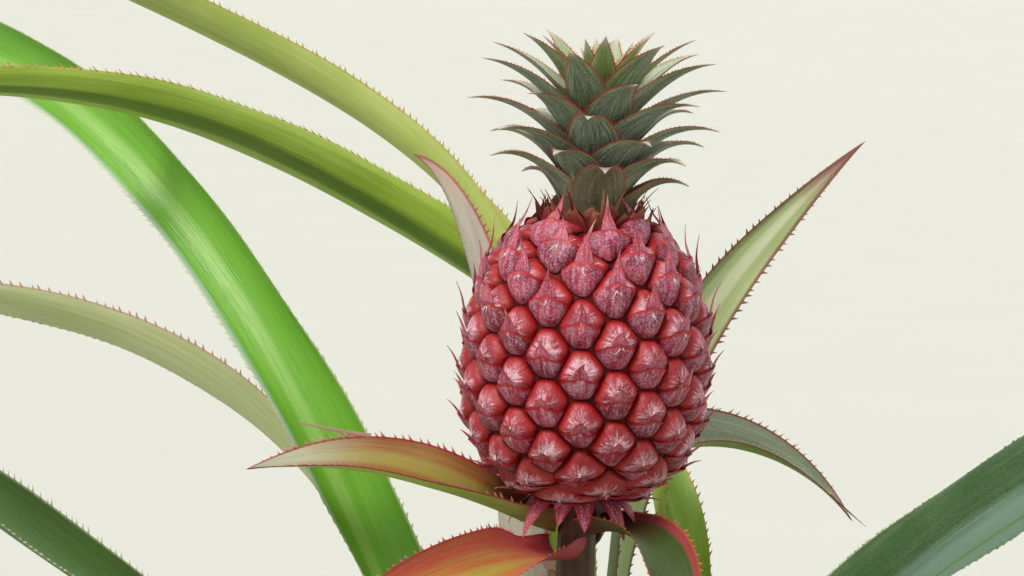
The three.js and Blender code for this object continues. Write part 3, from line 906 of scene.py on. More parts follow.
# How each kind of blade looks, first the darker and lighter colour of its upper face and of its underside
FINISHES = {
    Kind.OLD: BladeFinish(
        ("3f5a1e", "6d8a34"), ("4c6030", "76865a"), tip="7a4e2c", tip_reach=120, margin="8a5a38",
        tooth="a86a44", scurf=0.5),
    Kind.GROWN: BladeFinish(
        ("3f6a1e", "7aa53a"), ("4e7434", "86a062"), tip="9a6238", tip_reach=60, margin="a08a4a",
        tooth="c09058", scurf=0.5),
    Kind.YOUNG: BladeFinish(
        ("5a8a26", "9cc24a"), ("6a8e40", "9ab070"), tip="b07a50", margin="b0a050", tooth="c89058",
        scurf=0.45),
    # The top-left blade's bright yellow-green on both faces is painted light shining through the blade
    Kind.TOP_LEFT: BladeFinish(
        ("5f8a1e", "a8c840"), ("6c8e18", "b4cf48"), margin="b8a850", tooth="b0603c", scurf=0.06, tip_reach=40,
        under_bands=(Band(0.0, 0.3, "3f6412", 0.75),),
        upper_bands=(Band(0.0, 0.35, "48701a", 0.6),)),
    Kind.BROAD: BladeFinish(
        ("4f9218", "82b83a"), ("5a8a3c", "9ab48c"), margin="c8cfae", tooth="d8d8bc", margin_width=1.0,
        scurf=0.5, gloss=0.26,
        # The first upper band, pale yellow-green a little off the middle, is a painted highlight
        upper_bands=(Band(0.3, 0.25, "a8cc78", 0.35), Band(0.97, 0.16, "9fb8b0", 0.85))),
    Kind.BEHIND: BladeFinish(
        ("6a8a20", "a8b844"), ("7a9430", "b2bc5c"), margin="a89a50", scurf=0.15),
    Kind.LOW_LEFT: BladeFinish(
        ("2c560c", "4c8014"), ("305a10", "54801c"), margin="a8b08a", tooth="d2d2b0", scurf=0.15),
    Kind.PALE: BladeFinish(
        ("a0b45c", "ccd69c"), ("a4b06c", "d4d8a8"), margin="c8a090", tooth="c88878", scurf=0.3, tip="b07060"),
    Kind.NEAR_RIGHT: BladeFinish(
        ("2a4a1e", "4a7034"), ("1f4616", "346428"), margin="b4c49a", tooth="b8c49c", margin_width=1.2,
        scurf=0.15,
        under_bands=(Band(0.5, 0.55, "8fb2a4", 0.9), Band(0.5, 0.05, "6f9a48", 0.7))),
    Kind.SLIM_RIGHT: BladeFinish(
        ("8fa862", "d2dcae"), ("5f7c3e", "8aa060"), margin="8a5648", tooth="8a4a44", margin_width=1.3,
        tip="a8706c", tip_reach=45, scurf=0.3,
        upper_bands=(Band(0.0, 0.4, "e2e8c8", 0.7), Band(0.85, 0.3, "6f8f4a", 0.8))),
    Kind.SLIM_LEFT: BladeFinish(
        ("8a8a6a", "b4ac9a"), ("8c8478", "b8a8a0"), margin="9a4a48", tooth="a04440", margin_width=1.2,
        tip="b89a8c", tip_reach=60, scurf=0.6),
    Kind.BRACT_FLAME: BladeFinish(
        ("8f3c0c", "9a8c2a"), ("a8c048", "d0dc78"), foot="5a240c", foot_reach=60, tip="aab096", tip_reach=60,
        margin="a01c34", tooth="d88a90", margin_width=0.8, scurf=0.12, upper_scurf=0.1, gloss=0.42,
        upper_bands=(Band(0.72, 0.5, "a02c14", 0.7), Band(-0.3, 0.35, "8a9028", 0.6))),
    Kind.BRACT_ROSE: BladeFinish(
        ("b04a22", "b8a040"), ("b04858", "c08a60"), foot="b83a50", foot_reach=70, tip="9a6238",
        margin="b82a44", tooth="e09a9c", margin_width=0.9, scurf=0.2, upper_scurf=0.1, gloss=0.42,
        upper_bands=(Band(-0.7, 0.4, "c03a30", 0.7), Band(0.3, 0.3, "9aa83a", 0.6))),
    Kind.BRACT_GREY: BladeFinish(
        ("5c7048", "93a284"), ("7c9a48", "a8b870"), foot="6a4a34", foot_reach=80, tip="c8a892", tip_reach=20,
        margin="9a3c40", tooth="dcb8a8", margin_width=0.8, scurf=0.2, upper_scurf=0.5, gloss=0.45),
    Kind.BRACT_DARK: BladeFinish(
        ("28401c", "4a5c28"), ("2c461e", "56702e"), foot="6a2c34", foot_reach=40, tip="7a5a3c",
        margin="b85a34", tooth="d07a5a", scurf=0.15,
        upper_bands=(Band(0.9, 0.3, "a83a4c", 0.8),)),
    Kind.BRACT_PLAIN: BladeFinish(
        ("6a7a2c", "b07a34"), ("7c8a48", "a4a070"), foot="a84050", foot_reach=60, tip="9a6238",
        margin="a82c3c", tooth="dc9a90", scurf=0.3,
        upper_bands=(Band(0.8, 0.4, "b0482c", 0.6),)),
}


class Dresser:
    """Makes each blade finish's materials once."""

    def __init__(self) -> None:
        """Start with nothing made."""
        self.made: dict[Kind, list[bpy.types.Material]] = {}

    def materials(self, kind: Kind) -> list[bpy.types.Material]:
        """The materials of a kind of blade."""
        if kind not in self.made:
            self.made[kind] = FINISHES[kind].faces(kind.value)
        return self.made[kind]


@dataclass
class Rosette:
    """The long leaves, on one spiral of slots from the oldest and lowest up.

    Attributes:
        stem: The stem that they grow on.
        dresser: Where their materials come from.
        slots: How many places the spiral has.
        turn: The angle from one place to the next, in degrees.
        phase: The first place's azimuth, in degrees.
        lowest: The first place's height.
        highest: The last place's height.
        foot: A solid leaf's thickness at its foot.
        grown_from: The first place whose leaf isn't old.
        young_from: The first place whose leaf is young.
        empty: Places without a leaf, where it would touch the leaves that the photo shows.
        shown: The measures of the leaves that the photo shows, by place from 0.
        kinds: Their finishes.
    """

    stem: Stem
    dresser: Dresser
    slots: int = 32
    turn: float = 137.3
    phase: float = 330.0
    lowest: float = 24.0
    highest: float = 138.0
    foot: float = 2.4
    grown_from: int = 8
    young_from: int = 20
    empty: tuple[int, ...] = (17, 24, 30, 31)
    shown: dict[int, dict] = field(default_factory=lambda: {
        9: dict(length=641, half_width=17, channel=38, lean=(20, 109), bend=1.63,
                sweep=79, turn=0.61, twist=52),
        14: dict(length=890, half_width=22.5, channel=86, lean=(18, 80), bend=0.92,
                 sweep=130, turn=0.59, twist=34),
        19: dict(length=818, half_width=20.4, channel=88, lean=(16, 106.7), bend=1.22,
                 sweep=165.4, turn=0.38, twist=47.7),
        22: dict(length=417, half_width=19, channel=69, lean=(11, 82), bend=6,
                 sweep=19, turn=0.9, twist=110),
        25: dict(length=850, half_width=19.8, channel=70, lean=(10.3, 139), bend=1.51,
                 sweep=-23, turn=0.21, twist=-76),
        26: dict(length=872, half_width=20.6, channel=88, lean=(10, 89), bend=0.52,
                 sweep=40, turn=0.7, twist=-75),
        27: dict(length=418, half_width=18.5, channel=38, lean=(10.5, 49), bend=1.27,
                 sweep=-90, turn=0.65, twist=95),
        28: dict(length=780, half_width=17.5, channel=40, lean=(21, 80.3), bend=0.5,
                 sweep=40, turn=0.33, twist=-54),
    })
    kinds: dict[int, Kind] = field(default_factory=lambda: {
        9: Kind.PALE, 14: Kind.BEHIND, 19: Kind.TOP_LEFT, 22: Kind.SLIM_LEFT, 25: Kind.BROAD,
        26: Kind.NEAR_RIGHT, 27: Kind.SLIM_RIGHT, 28: Kind.LOW_LEFT,
    })

    def plain(self, slot: int) -> dict:
        """The measures of a leaf without a shape of its own: older ones arch lower, young ones are short."""
        age = slot / (self.slots - 1)
        length = mix(520, 760, age * 2) if age < 0.5 else mix(760, 380, age * 2 - 1)
        return dict(
            lean=(mix(50, 13, age) + 2 * vary(slot, 1), mix(118, 104, age) + 5 * vary(slot, 2)),
            bend=mix(0.8, 0.55, age),
            sweep=10 * vary(slot, 3),
            twist=12 * vary(slot, 4),
            length=length * (1 + 0.05 * vary(slot, 5)),
            half_width=18 + 1.5 * vary(slot, 6) - 4 * max(0.0, age - 0.6),
        )

    def course(self, slot: int) -> Course:
        """The course of the leaf in a slot."""
        height = mix(self.lowest, self.highest, slot / (self.slots - 1))
        measures = self.shown.get(slot) or self.plain(slot)
        azimuth = self.phase + self.turn * slot
        lean = math.radians(measures["lean"][0] + FLARE)
        wraps = float(self.stem.radius(height)) + GAP + CLEAR_OF_STEM + self.foot / 2 * math.cos(lean)
        start = height * UP + outward(azimuth) * wraps
        return Course(azimuth=azimuth, start=start, wraps=wraps, **measures)

    def kind(self, slot: int) -> Kind:
        """Which finish a leaf has: its own, or one by its age."""
        if slot in self.kinds:
            return self.kinds[slot]
        if slot < self.grown_from:
            return Kind.OLD
        return Kind.GROWN if slot < self.young_from else Kind.YOUNG

    def build(self) -> None:
        """Make one piece for every leaf."""
        for slot in range(self.slots):
            if slot in self.empty:
                continue
            surface = Surface(*BLADE_MARKS)
            Blade(self.course(slot), vary(slot, 9)).build(surface)
            number = f"{slot + 1:02d}"
            materials = self.dresser.materials(self.kind(slot))
            surface.made(f"blade_{number}", "leaf", materials, sharp=50, stands_for=(f"leaf_{number}",))


@dataclass
class StalkBracts:
    """The leafy bracts of the fruit stalk.

    Attributes:
        stalk: The stalk that they grow on.
        dresser: Where their materials come from.
        foot: A solid bract's thickness at its foot.
        thickness: Their thickness in the middle.
        teeth: The teeth that they all have.
        rows: Each bract's kind, height and measures, by number from 1.
        slivers: The strips torn from bracts, by the bract's number.
    """

    stalk: Stalk
    dresser: Dresser
    foot: float = 2.0
    thickness: float = 1.5
    teeth: Teeth = field(default_factory=lambda: Teeth(spacing=3.6, length=2.1, first=0.12, forward=0.9))
    rows: tuple[tuple[Kind, float, dict], ...] = (
        (Kind.BRACT_FLAME, 323, dict(azimuth=178, length=138, half_width=16, channel=70, lean=(45, 103),
                                     bend=0.88, sweep=-6, twist=-28)),
        (Kind.BRACT_ROSE, 312, dict(azimuth=238, length=152, half_width=15, channel=60, lean=(40, 117),
                                    bend=0.45, sweep=-18, twist=-50)),
        (Kind.BRACT_GREY, 314, dict(azimuth=70, length=200, half_width=17, channel=70, lean=(37, 143),
                                    bend=1, sweep=-50, twist=31)),
        (Kind.BRACT_DARK, 323, dict(azimuth=320, length=112, half_width=13, channel=60, lean=(24, 168),
                                    bend=0.52, sweep=-36, turn=0.3, twist=12)),
        (Kind.BRACT_PLAIN, 300, dict(azimuth=100, length=52, half_width=9, lean=(60, 100))),
        (Kind.BRACT_PLAIN, 278, dict(azimuth=255, length=150, half_width=13, lean=(50, 118))),
        (Kind.BRACT_PLAIN, 262, dict(azimuth=20, length=170, half_width=13, lean=(46, 112))),
        (Kind.BRACT_PLAIN, 236, dict(azimuth=186, length=190, half_width=14, lean=(44, 108))),
        (Kind.BRACT_PLAIN, 205, dict(azimuth=5, length=130, half_width=13, lean=(30, 84))),
    )
    slivers: dict[int, Sliver] = field(default_factory=lambda: {
        1: Sliver(-1, 0.62, 34.0), 3: Sliver(-1, 0.9, 24.0),
    })

    def course(self, height: float, measures: dict) -> Course:
        """The course of a bract whose foot is at a height."""
        t = self.stalk.share(height)
        lean = math.radians(measures["lean"][0] + FLARE)
        wraps = float(self.stalk.radius(t)) + GAP + CLEAR_OF_STEM + self.foot / 2 * math.cos(lean)
        start = self.stalk.point(t) + outward(measures["azimuth"]) * wraps
        return Course(start=start, wraps=wraps, thickness=self.thickness, **measures)

    def build(self) -> None:
        """Make one piece for every bract."""
        for index, (kind, height, measures) in enumerate(self.rows, 1):
            surface = Surface(*BLADE_MARKS)
            blade = Blade(self.course(height, measures), vary(index, 11), self.teeth, rows=90, ripple=0.4)
            blade.build(surface)
            if index in self.slivers:
                blade.add_sliver(surface, self.slivers[index])
            materials = self.dresser.materials(kind)
            surface.made(f"bract_blade_{index}", "bract", materials, sharp=50, stands_for=(f"bract_{index}",))


@dataclass(frozen=True)
class Head:
    """The frame of the fruit and the crown: its place, and its lean about Y in degrees."""

    place: Array
    lean: float

    def turn(self, vectors: Array) -> Array:
        """Directions of the head's own frame in the plant's frame."""
        sine, cosine = math.sin(math.radians(self.lean)), math.cos(math.radians(self.lean))
        x, y, z = vectors[..., 0], vectors[..., 1], vectors[..., 2]
        return np.stack([x * cosine + z * sine, y, z * cosine - x * sine], -1)

    def seat(self, points: Array) -> Array:
        """Points of the head's own frame in the plant's frame."""
        return self.turn(points) + self.place


def petal(surface: Surface, path: Array, side: Array, half_width: Array, thickness: Array,
          **marks: float) -> None:
    """Add a slim pointed piece along a path, with a lens-shaped section.

    Args:
        surface: Where it goes. Its marks can be along, across and any others given.
        path: Its centre line, from foot to tip.
        side: The direction across it, one for all or one for each point.
        half_width: Half of its width at each point.
        thickness: Its thickness at each point.
        marks: Numbers that all of its points carry.
    """
    along = unit(np.gradient(path, axis=0))
    side = unit(side - (side * along).sum(-1, keepdims=True) * along)
    face = np.cross(along, side)
    around = np.array([(-1, 0), (-0.5, -0.8), (0, -1), (0.5, -0.8), (1, 0), (0.5, 0.8), (0, 1), (-0.5, 0.8)])
    aside = side[:, None] * around[:, :1] * half_width[:, None, None]
    rings = path[:, None] + aside + face[:, None] * around[:, 1:] * thickness[:, None, None] / 2
    run = np.repeat(np.linspace(0, 1, len(path))[:, None], len(around), 1)
    across = np.repeat(around[None, :, 0], len(path), 0)
    surface.add_grid(rings, along=run, across=across, **marks)


def curved(start: Array, bend: Array, end: Array, count: int) -> Array:
    """Points of a curve from start to end that heads for bend first."""
    t = np.linspace(0, 1, count)[:, None]
    return (1 - t) ** 2 * start + 2 * t * (1 - t) * bend + t * t * end


@dataclass(frozen=True)
class Eye:
    """One eye of the fruit: its number, height and azimuth, its place along the outline and its size."""

    index: int
    height: float
    azimuth: float
    place: float
    size: float


@dataclass
class Fruit:
    """The fruit: a core, a dome, a bract scale and a point for each eye, dried threads, skirt and stubs.

    Attributes:
        head: The frame that it stands in.
        top: Its height.
        radius: Its outer radius where it is widest.
        waist: The height where it is widest.
        reach_down: How far under the waist its outline would close.
        reach_up: How far over the waist it would close.
        roundness: How full its outline is, with 2 for an ellipse and more for a fuller one.
        eyes: How many eyes it has.
        highest: The first eye's height, from which each next one stands 1 lower.
        turn: The angle from one eye to the next, in degrees.
        phase: The first eye's azimuth, in degrees.
        rise: How far the middle of a full eye stands over the outline.
        groove: How deep the grooves between full eyes are.
        warm_side: The azimuth of the key light's side, in degrees, towards which the grooves get the most
            painted warm light in orange.
        thread_top: The height over which eyes have no threads.
        threads: How many threads an eye has.
        skirt: How many bracts hang under it.
        stub_scales: How many scales stand round the crown's foot.
        stub_points: How many thin points stand among them.
    """

    head: Head
    top: float = 120.0
    radius: float = 51.5
    waist: float = 55.0
    reach_down: float = 57.0
    reach_up: float = 71.0
    roundness: float = 2.6
    eyes: int = 116
    highest: float = 119.0
    turn: float = 137.19
    phase: float = 315.0
    rise: float = 1.4
    groove: float = 4.6
    warm_side: float = 235.0
    thread_top: float = 112.0
    threads: int = 3
    skirt: int = 13
    stub_scales: int = 40
    stub_points: int = 24

    def __post_init__(self) -> None:
        """Work out the outline in small steps: its heights, radii and lengths up to there."""
        self.heights = np.linspace(0, self.top, OUTLINE_STEPS + 1)
        self.radii = self.radius_at(self.heights)
        steps = np.hypot(np.diff(self.heights), np.diff(self.radii))
        self.lengths = np.concatenate([[0], np.cumsum(steps)])

    def radius_at(self, height: Array | float) -> Array | float:
        """The outer radius at a height over the base."""
        reach = np.where(np.asarray(height) > self.waist, self.reach_up, self.reach_down)
        away = np.abs(np.asarray(height) - self.waist) / reach
        return self.radius * np.sqrt(np.maximum(0, 1 - away ** self.roundness))

    def skin(self, azimuth: Array | float, place: Array | float, lift: Array | float) -> Array:
        """Points over the outline, in the plant's frame.

        Args:
            azimuth: In degrees.
            place: How far up the outline's length.
            lift: How far out from it.

        Returns:
            The points.
        """
        height = np.interp(place, self.lengths, self.heights)
        radius = np.interp(place, self.lengths, self.radii)
        slope = np.interp(place, self.lengths, np.gradient(self.radii, self.lengths))
        upright = np.interp(place, self.lengths, np.gradient(self.heights, self.lengths))
        over = np.clip(place - self.lengths[-1], 0, None) + np.clip(place, None, 0)
        out = outward(azimuth)
        points = out * (radius + upright * lift + slope * over)[..., None]
        return self.head.seat(points + UP * (height - slope * lift + upright * over)[..., None])

    def eye(self, index: int) -> Eye:
        """The eye with a number on the spiral from the top down."""
        height = self.highest - index
        radius = float(self.radius_at(height))
        place = float(np.interp(height, self.heights, self.lengths))
        return Eye(index, height, self.phase + self.turn * index, place, mix(0.45, 1, radius / self.radius))

    def neighbours(self, eye: Eye) -> Array:
        """Sideways and upward distances to the six eyes that an eye touches: 8, 13 and 21 on, and back."""
        found = []
        radius = float(np.interp(eye.place, self.lengths, self.radii))
        for step in (8, 13, 21):
            for sign in (-1, 1):
                height = eye.height - sign * step
                inside = float(np.clip(height, 0, self.top))
                place = float(np.interp(inside, self.heights, self.lengths)) + (height - inside)
                other = float(np.interp(place, self.lengths, self.radii))
                angle = math.remainder(self.turn * step * sign, 360)
                found.append((math.radians(angle) * (radius + other) / 2, place - eye.place))
        return np.array(found)

    def border(self, eye: Eye, angle: Array | float) -> Array:
        """How far an eye reaches at each angle round it, half way to its neighbours with rounded corners."""
        near = self.neighbours(eye)
        half = np.linalg.norm(near, axis=1) / 2
        facing = np.cos(np.asarray(angle)[..., None] - np.arctan2(near[:, 1], near[:, 0]))
        return ((np.maximum(facing, 0) / half) ** 9).sum(-1) ** (-1 / 9)

    def dome(self, eye: Eye, share: Array | float) -> Array:
        """Height of an eye's dome at a share of the way to its border."""
        rounded = (1 - np.clip(share, 0, 1) ** 2.6) ** 0.6
        return eye.size * (-self.groove + (self.groove + self.rise) * rounded)

    def local(self, eye: Eye, aside: Array | float, above: Array | float, lift: Array | float) -> Array:
        """Points given from an eye's middle, in the plant's frame."""
        place = eye.place + above
        radius = np.maximum(np.interp(place, self.lengths, self.radii), 10)
        return self.skin(eye.azimuth + np.degrees(aside / radius), place, lift)

    def warmth(self, eye: Eye) -> float:
        """How much painted warm light, in orange, an eye's grooves get: most near the top, on the side that
        faces the key light.
        """
        facing = math.cos(math.radians(eye.azimuth - self.warm_side))
        return max(0.0, facing) * float(smooth((eye.height - 62) / 40))

    def build(self) -> None:
        """Make the fruit's pieces."""
        every = [self.eye(index) for index in range(self.eyes)]
        self.build_core()
        self.build_domes(every)
        self.build_scales(every)
        self.build_spines(every)
        self.build_threads(every)
        self.build_skirt()
        self.build_stubs()

    def build_core(self) -> None:
        """The body in the grooves, closed at both ends; its dark red is darkened further as painted shade."""
        surface = Surface()
        rings, sides, floor = 70, 96, 0.4 - self.groove
        turn, place = np.meshgrid(np.linspace(0, 360, sides, endpoint=False),
                                  np.linspace(0, self.lengths[-1], rings))
        first = surface.add_grid(self.skin(turn, place, floor))
        for ring, height in ((0, 0.6), (rings - 1, self.top - 0.4)):
            surface.add_end(first + ring * sides, sides, self.head.seat(UP * height), ring == 0)
        surface.made("fruit_core", "fruit", [self.flesh()], sharp=80, stands_for=("fruit",))

    def build_domes(self, every: list[Eye]) -> None:
        """A dome for each eye, parted by three seams."""
        surface = Surface("depth", "ray", "tone", "warm")
        rings, sides = 11, 36
        share = np.linspace(0, 1, rings)[:, None] ** 0.8
        angle = np.linspace(0, 2 * math.pi, sides, endpoint=False)[None]
        for eye in every:
            reach = self.border(eye, angle)
            aside, above = reach * share * np.cos(angle), reach * share * np.sin(angle)
            seam_angles = np.radians([90 + 14 * vary(eye.index, 3), 214, 326])
            seams = sum(np.exp(-(np.arctan2(np.sin(angle - at), np.cos(angle - at)) * share * 7) ** 2)
                        for at in seam_angles)
            lift = self.dome(eye, share) - 0.75 * eye.size * seams * smooth(share * 5) * (1 - share) ** 0.5
            lift = lift + 0.3 * np.sin(angle * 3 + eye.index) * share * (1 - share)
            points = self.local(eye, aside, above, np.broadcast_to(lift, aside.shape))
            surface.add_grid(points, depth=np.broadcast_to(share, aside.shape),
                             ray=np.broadcast_to(angle, aside.shape), tone=vary(eye.index, 12),
                             warm=self.warmth(eye))
        surface.made("fruit_domes", "fruit", [self.dome_skin()], sharp=80)

    def rim(self, eye: Eye, across: Array | float) -> Array:
        """How high the free rim of an eye's scale lies over the eye's middle."""
        lifted = float(smooth((eye.height - 60) / 50))
        middle = mix(-1.6, 2.6, lifted) + 0.8 * vary(eye.index, 4)
        arcs = middle - 2.2 * np.abs(across) ** 2.4 + 1.3 * np.exp(-np.abs(across) / 0.12)
        return arcs * eye.size

    def build_scales(self, every: list[Eye]) -> None:
        """The bract scale that covers the lower part of each eye, with a thin free rim."""
        surface = Surface("rim", "tone", "warm", "across")
        rows, columns, border_points = 13, 19, 61
        around = np.linspace(math.pi, 2 * math.pi, border_points)
        across = np.linspace(-1, 1, columns)[None]
        up = np.linspace(0, 1, rows)[:, None]
        for eye in every:
            reach = self.border(eye, around)
            half = 0.98 * min(reach[0], reach[-1])
            aside = across * half
            bottom = np.interp(aside, reach * np.cos(around), reach * np.sin(around)) * 0.99
            edge = np.maximum(self.rim(eye, across), bottom + 0.6)
            above = mix(bottom, edge, up ** 0.9)
            sideways = np.broadcast_to(aside, above.shape)
            angle = np.arctan2(above, sideways)
            share = np.hypot(above, sideways) / self.border(eye, angle)
            stand = self.dome(eye, share) + mix(0.25, 1.15, up ** 3) * eye.size
            stand = stand + 0.5 * eye.size * up ** 2 * (1 - across ** 2)
            fold = 0.22 * np.sin(across * 9 + eye.index) * up
            outer = self.local(eye, sideways, above, stand + fold)
            inner = self.local(eye, sideways, above, stand + fold - mix(0.9, 0.3, up) * eye.size)
            rings = np.concatenate([outer, inner[::-1]], axis=0)
            distance = (edge - above) * np.ones_like(sideways)
            surface.add_grid(rings, closed=False, rim=np.concatenate([distance, distance[::-1]]),
                             tone=vary(eye.index, 13), warm=self.warmth(eye),
                             across=np.broadcast_to(across, (2 * rows, columns)))
        surface.made("fruit_scales", "fruit", [self.scale_skin()], sharp=70)

    def build_spines(self, every: list[Eye]) -> None:
        """The point that each scale runs out in, long and upright near the crown."""
        surface = Surface("along", "across", "tone", "pale")
        root_below, root_inside = 3.4, 1.5
        for eye in every:
            edge = float(self.rim(eye, 0.0))
            share = abs(edge) / float(self.border(eye, math.copysign(math.pi / 2, edge)))
            stand = float(self.dome(eye, share)) + eye.size
            root = self.local(eye, 0.0, edge - root_below * eye.size, stand - root_inside * eye.size)
            foot = self.local(eye, 0.0, edge, stand)
            out = unit(self.local(eye, 0.0, edge, stand + 3) - foot)
            climb = unit(self.local(eye, 0.0, edge + 1.0, stand) - foot)
            side = np.cross(climb, out)
            lifted = float(smooth((eye.height - 50) / 60))
            length = mix(7.5, 13.5, lifted) * mix(0.8, 1, eye.size) * (1 + 0.3 * vary(eye.index, 1))
            lean = side * 0.25 * vary(eye.index, 2)
            bend = foot + (climb * 0.5 + out * mix(0.28, 0.12, lifted)) * length
            end = foot + (climb * mix(0.72, 0.95, lifted) + out * mix(0.5, 0.42, lifted) + lean) * length
            halfway = mix(foot, bend, 0.5)
            path = np.vstack([curved(root, foot, halfway, 5)[:-1], curved(halfway, bend, end, 9)])
            t = np.linspace(0, 1, len(path))
            half_width = mix(4.0, 5.2, lifted) * eye.size * (1 - t) ** 1.4 * smooth(0.35 + t * 4) + 0.12
            petal(surface, path, side, half_width, eye.size * (1 - t) + 0.2, tone=vary(eye.index, 14),
                  pale=float(vary(eye.index, 15) > 0.3))
        surface.made("fruit_spines", "fruit", [self.spine_skin()], sharp=80)

    def build_threads(self, every: list[Eye]) -> None:
        """Dried threads of the old flowers at the middle of the domes."""
        surface = Surface("along", "tone")
        for eye in every:
            if eye.height > self.thread_top:
                continue
            top = eye.size * self.rise
            for thread in range(self.threads):
                seed = eye.index * self.threads + thread
                reach = 3.2 + 1.6 * vary(seed, 23)
                start = self.local(eye, 0.6 * vary(seed, 21), 1.6 + vary(seed, 22), top - 0.4)
                bend = self.local(eye, 1.8 * vary(seed, 24), -0.4 * reach, top + 1.9)
                end = self.local(eye, 3.4 * vary(seed, 25), -0.9 * reach, top + 0.5)
                path = curved(start, bend, end, 7)
                t = np.linspace(0, 1, len(path))
                side = np.cross(end - start, self.head.turn(outward(eye.azimuth)))
                petal(surface, path, side, 0.42 * (1 - 0.7 * t) * eye.size, 0.3 * (1 - 0.5 * t),
                      tone=vary(seed, 26))
        surface.made("fruit_threads", "fruit", [self.thread_skin()], sharp=80)

    def build_skirt(self) -> None:
        """Small pointed bracts that hang in a ring under the fruit."""
        surface = Surface("along", "across", "tone", "pale")
        root_radius, root_height, half_width, sunk = 12.0, 4.5, 5.4, 3.5
        for k in range(self.skirt):
            out = outward(360 * k / self.skirt + 6 * vary(k, 2))
            root = out * root_radius + UP * root_height
            length = 19 * (1 + 0.3 * vary(k, 3)) + sunk
            bend = root + unit(out - 0.2 * UP) * length * 0.5
            end = root + unit(out - 0.95 * UP) * length
            path = curved(root, bend, end, 12)
            t = np.linspace(0, 1, len(path))
            width = half_width * np.sin(math.pi * np.clip(0.5 + t * 0.5, 0, 1)) ** 0.8 + 0.1
            petal(surface, self.head.seat(path), self.head.turn(np.cross(UP, out)), width,
                  1.1 * (1 - t) + 0.2, tone=vary(k, 16), pale=0.0)
        surface.made("fruit_skirt", "fruit", [self.spine_skin()], sharp=80)

    def build_stubs(self) -> None:
        """Reddish-brown scales in a band round the crown's foot, and thin curved points among them."""
        surface = Surface("along", "tone")
        for k in range(self.stub_scales + self.stub_points):
            thin = k >= self.stub_scales
            radius = 19.5 + 3.5 * vary(k, 31)
            out = outward(SPIRAL * k)
            aside = np.cross(UP, out)
            root = out * radius + UP * (self.top - 5)
            climb = 15.0 + 5 * vary(k, 33) if thin else 10.0 + 3.0 * vary(k, 33)
            spread = 1.6 if thin else 0.6
            end = root + out * (5.0 + 4 * vary(k, 32)) * spread + UP * climb + aside * 3 * vary(k, 35)
            bend = root + out * 1.6 + UP * climb * 0.6
            path = curved(root, bend, end, 8)
            t = np.linspace(0, 1, len(path))
            width = 1.3 * (1 - t) if thin else 4.6 * (1 - t ** 2.2)
            petal(surface, self.head.seat(path), self.head.turn(aside), width + 0.2, 0.7 * (1 - t) + 0.2,
                  tone=vary(k, 34))
        surface.made("fruit_stubs", "fruit", [self.stub_skin()], sharp=80)

    def flesh(self) -> bpy.types.Material:
        """The grooves' floor: the fruit's dark red, darkened almost to black as painted shade."""
        shader = Shader("fruit_flesh")
        grain = shader.noise(shader.place(), 300.0, 4.0)
        # Painted shade: the grooves' floor runs from near-black to dark red
        colour = shader.blend("2c0406", "6a0a0e", grain.step(0.3, 0.7))
        return shader.finish(colour, roughness=0.6, relief=grain, depth=0.5, Specular_IOR_Level=0.2)

    def dome_skin(self) -> bpy.types.Material:
        """Crimson domes under a pinkish-white scurf in fine rays, deep red at their borders, with painted
        warm light in orange on the side that faces the key light and painted shade near-black at their very
        edge.
        """
        shader = Shader("fruit_dome")
        depth, ray, tone, warm = shader.marks("depth", "ray", "tone", "warm")
        rays = shader.pattern(ray * 5.5, depth * 2.2, tone * 20, 4.0)
        dust = shader.noise(shader.place(), 1500.0)
        patch = shader.noise(shader.place(), 150.0)
        colour = shader.blend("8e1a2c", "b43a4c", patch.step(0.35, 0.65))
        cover = (rays * 1.3 + dust * 0.7 + patch * 0.5 - 0.8 - depth * 0.55 + tone * 0.12).step(0.0, 0.5)
        colour = shader.blend(colour, "e2bccb", cover * 0.92)
        colour = shader.blend(colour, "a01014", (depth + rays * 0.2).step(0.66, 0.95))
        # Painted warm light: orange deep in the grooves near the top, on the side that faces the key light
        colour = shader.blend(colour, "c8381a", depth.step(0.5, 0.9) * warm * patch.step(0.45, 0.7) * 0.8)
        # Painted shade: near-black red at the very border of each dome, deep in the grooves
        colour = shader.blend(colour, "5a060a", depth.step(0.86, 1.0) * 0.85)
        roughness = (0.42 + cover * 0.3).clamped()
        relief = rays * 0.7 + dust * 0.4
        return shader.finish(colour, roughness, relief, depth=0.5, Specular_IOR_Level=0.5)

    def scale_skin(self) -> bpy.types.Material:
        """Purple-red scales with lilac scurf and a scarlet rim, and painted warm light in orange patches on
        the side that faces the key light.
        """
        shader = Shader("fruit_scale")
        rim, tone, warm, across = shader.marks("rim", "tone", "warm", "across")
        dust = shader.noise(shader.place(), 1300.0)
        patch = shader.noise(shader.place(), 170.0)
        streak = shader.pattern(across * 7, rim * 0.12, tone * 9)
        colour = shader.blend("7e1630", "a82c48", (patch + tone * 0.15).step(0.35, 0.65))
        cover = (dust * 0.9 + streak * 0.6 + patch * 0.3 - 0.78).step(0.0, 0.4)
        colour = shader.blend(colour, "c8a4c0", cover * 0.8)
        red = (rim + (streak - 0.5) * 1.2).step(1.7, 0.5)
        colour = shader.blend(colour, "b8141a", red * 0.92)
        # Painted warm light: orange patches near the top, on the side that faces the key light
        colour = shader.blend(colour, "c8501c", warm * patch.step(0.56, 0.7) * 0.6)
        side = abs(across).step(0.82, 1.0)
        colour = shader.blend(colour, "8a0c14", side * 0.8)
        roughness = (0.44 + cover * 0.25).clamped()
        relief = streak * 0.6 + dust * 0.5
        return shader.finish(colour, roughness, relief, depth=0.45, Specular_IOR_Level=0.5)

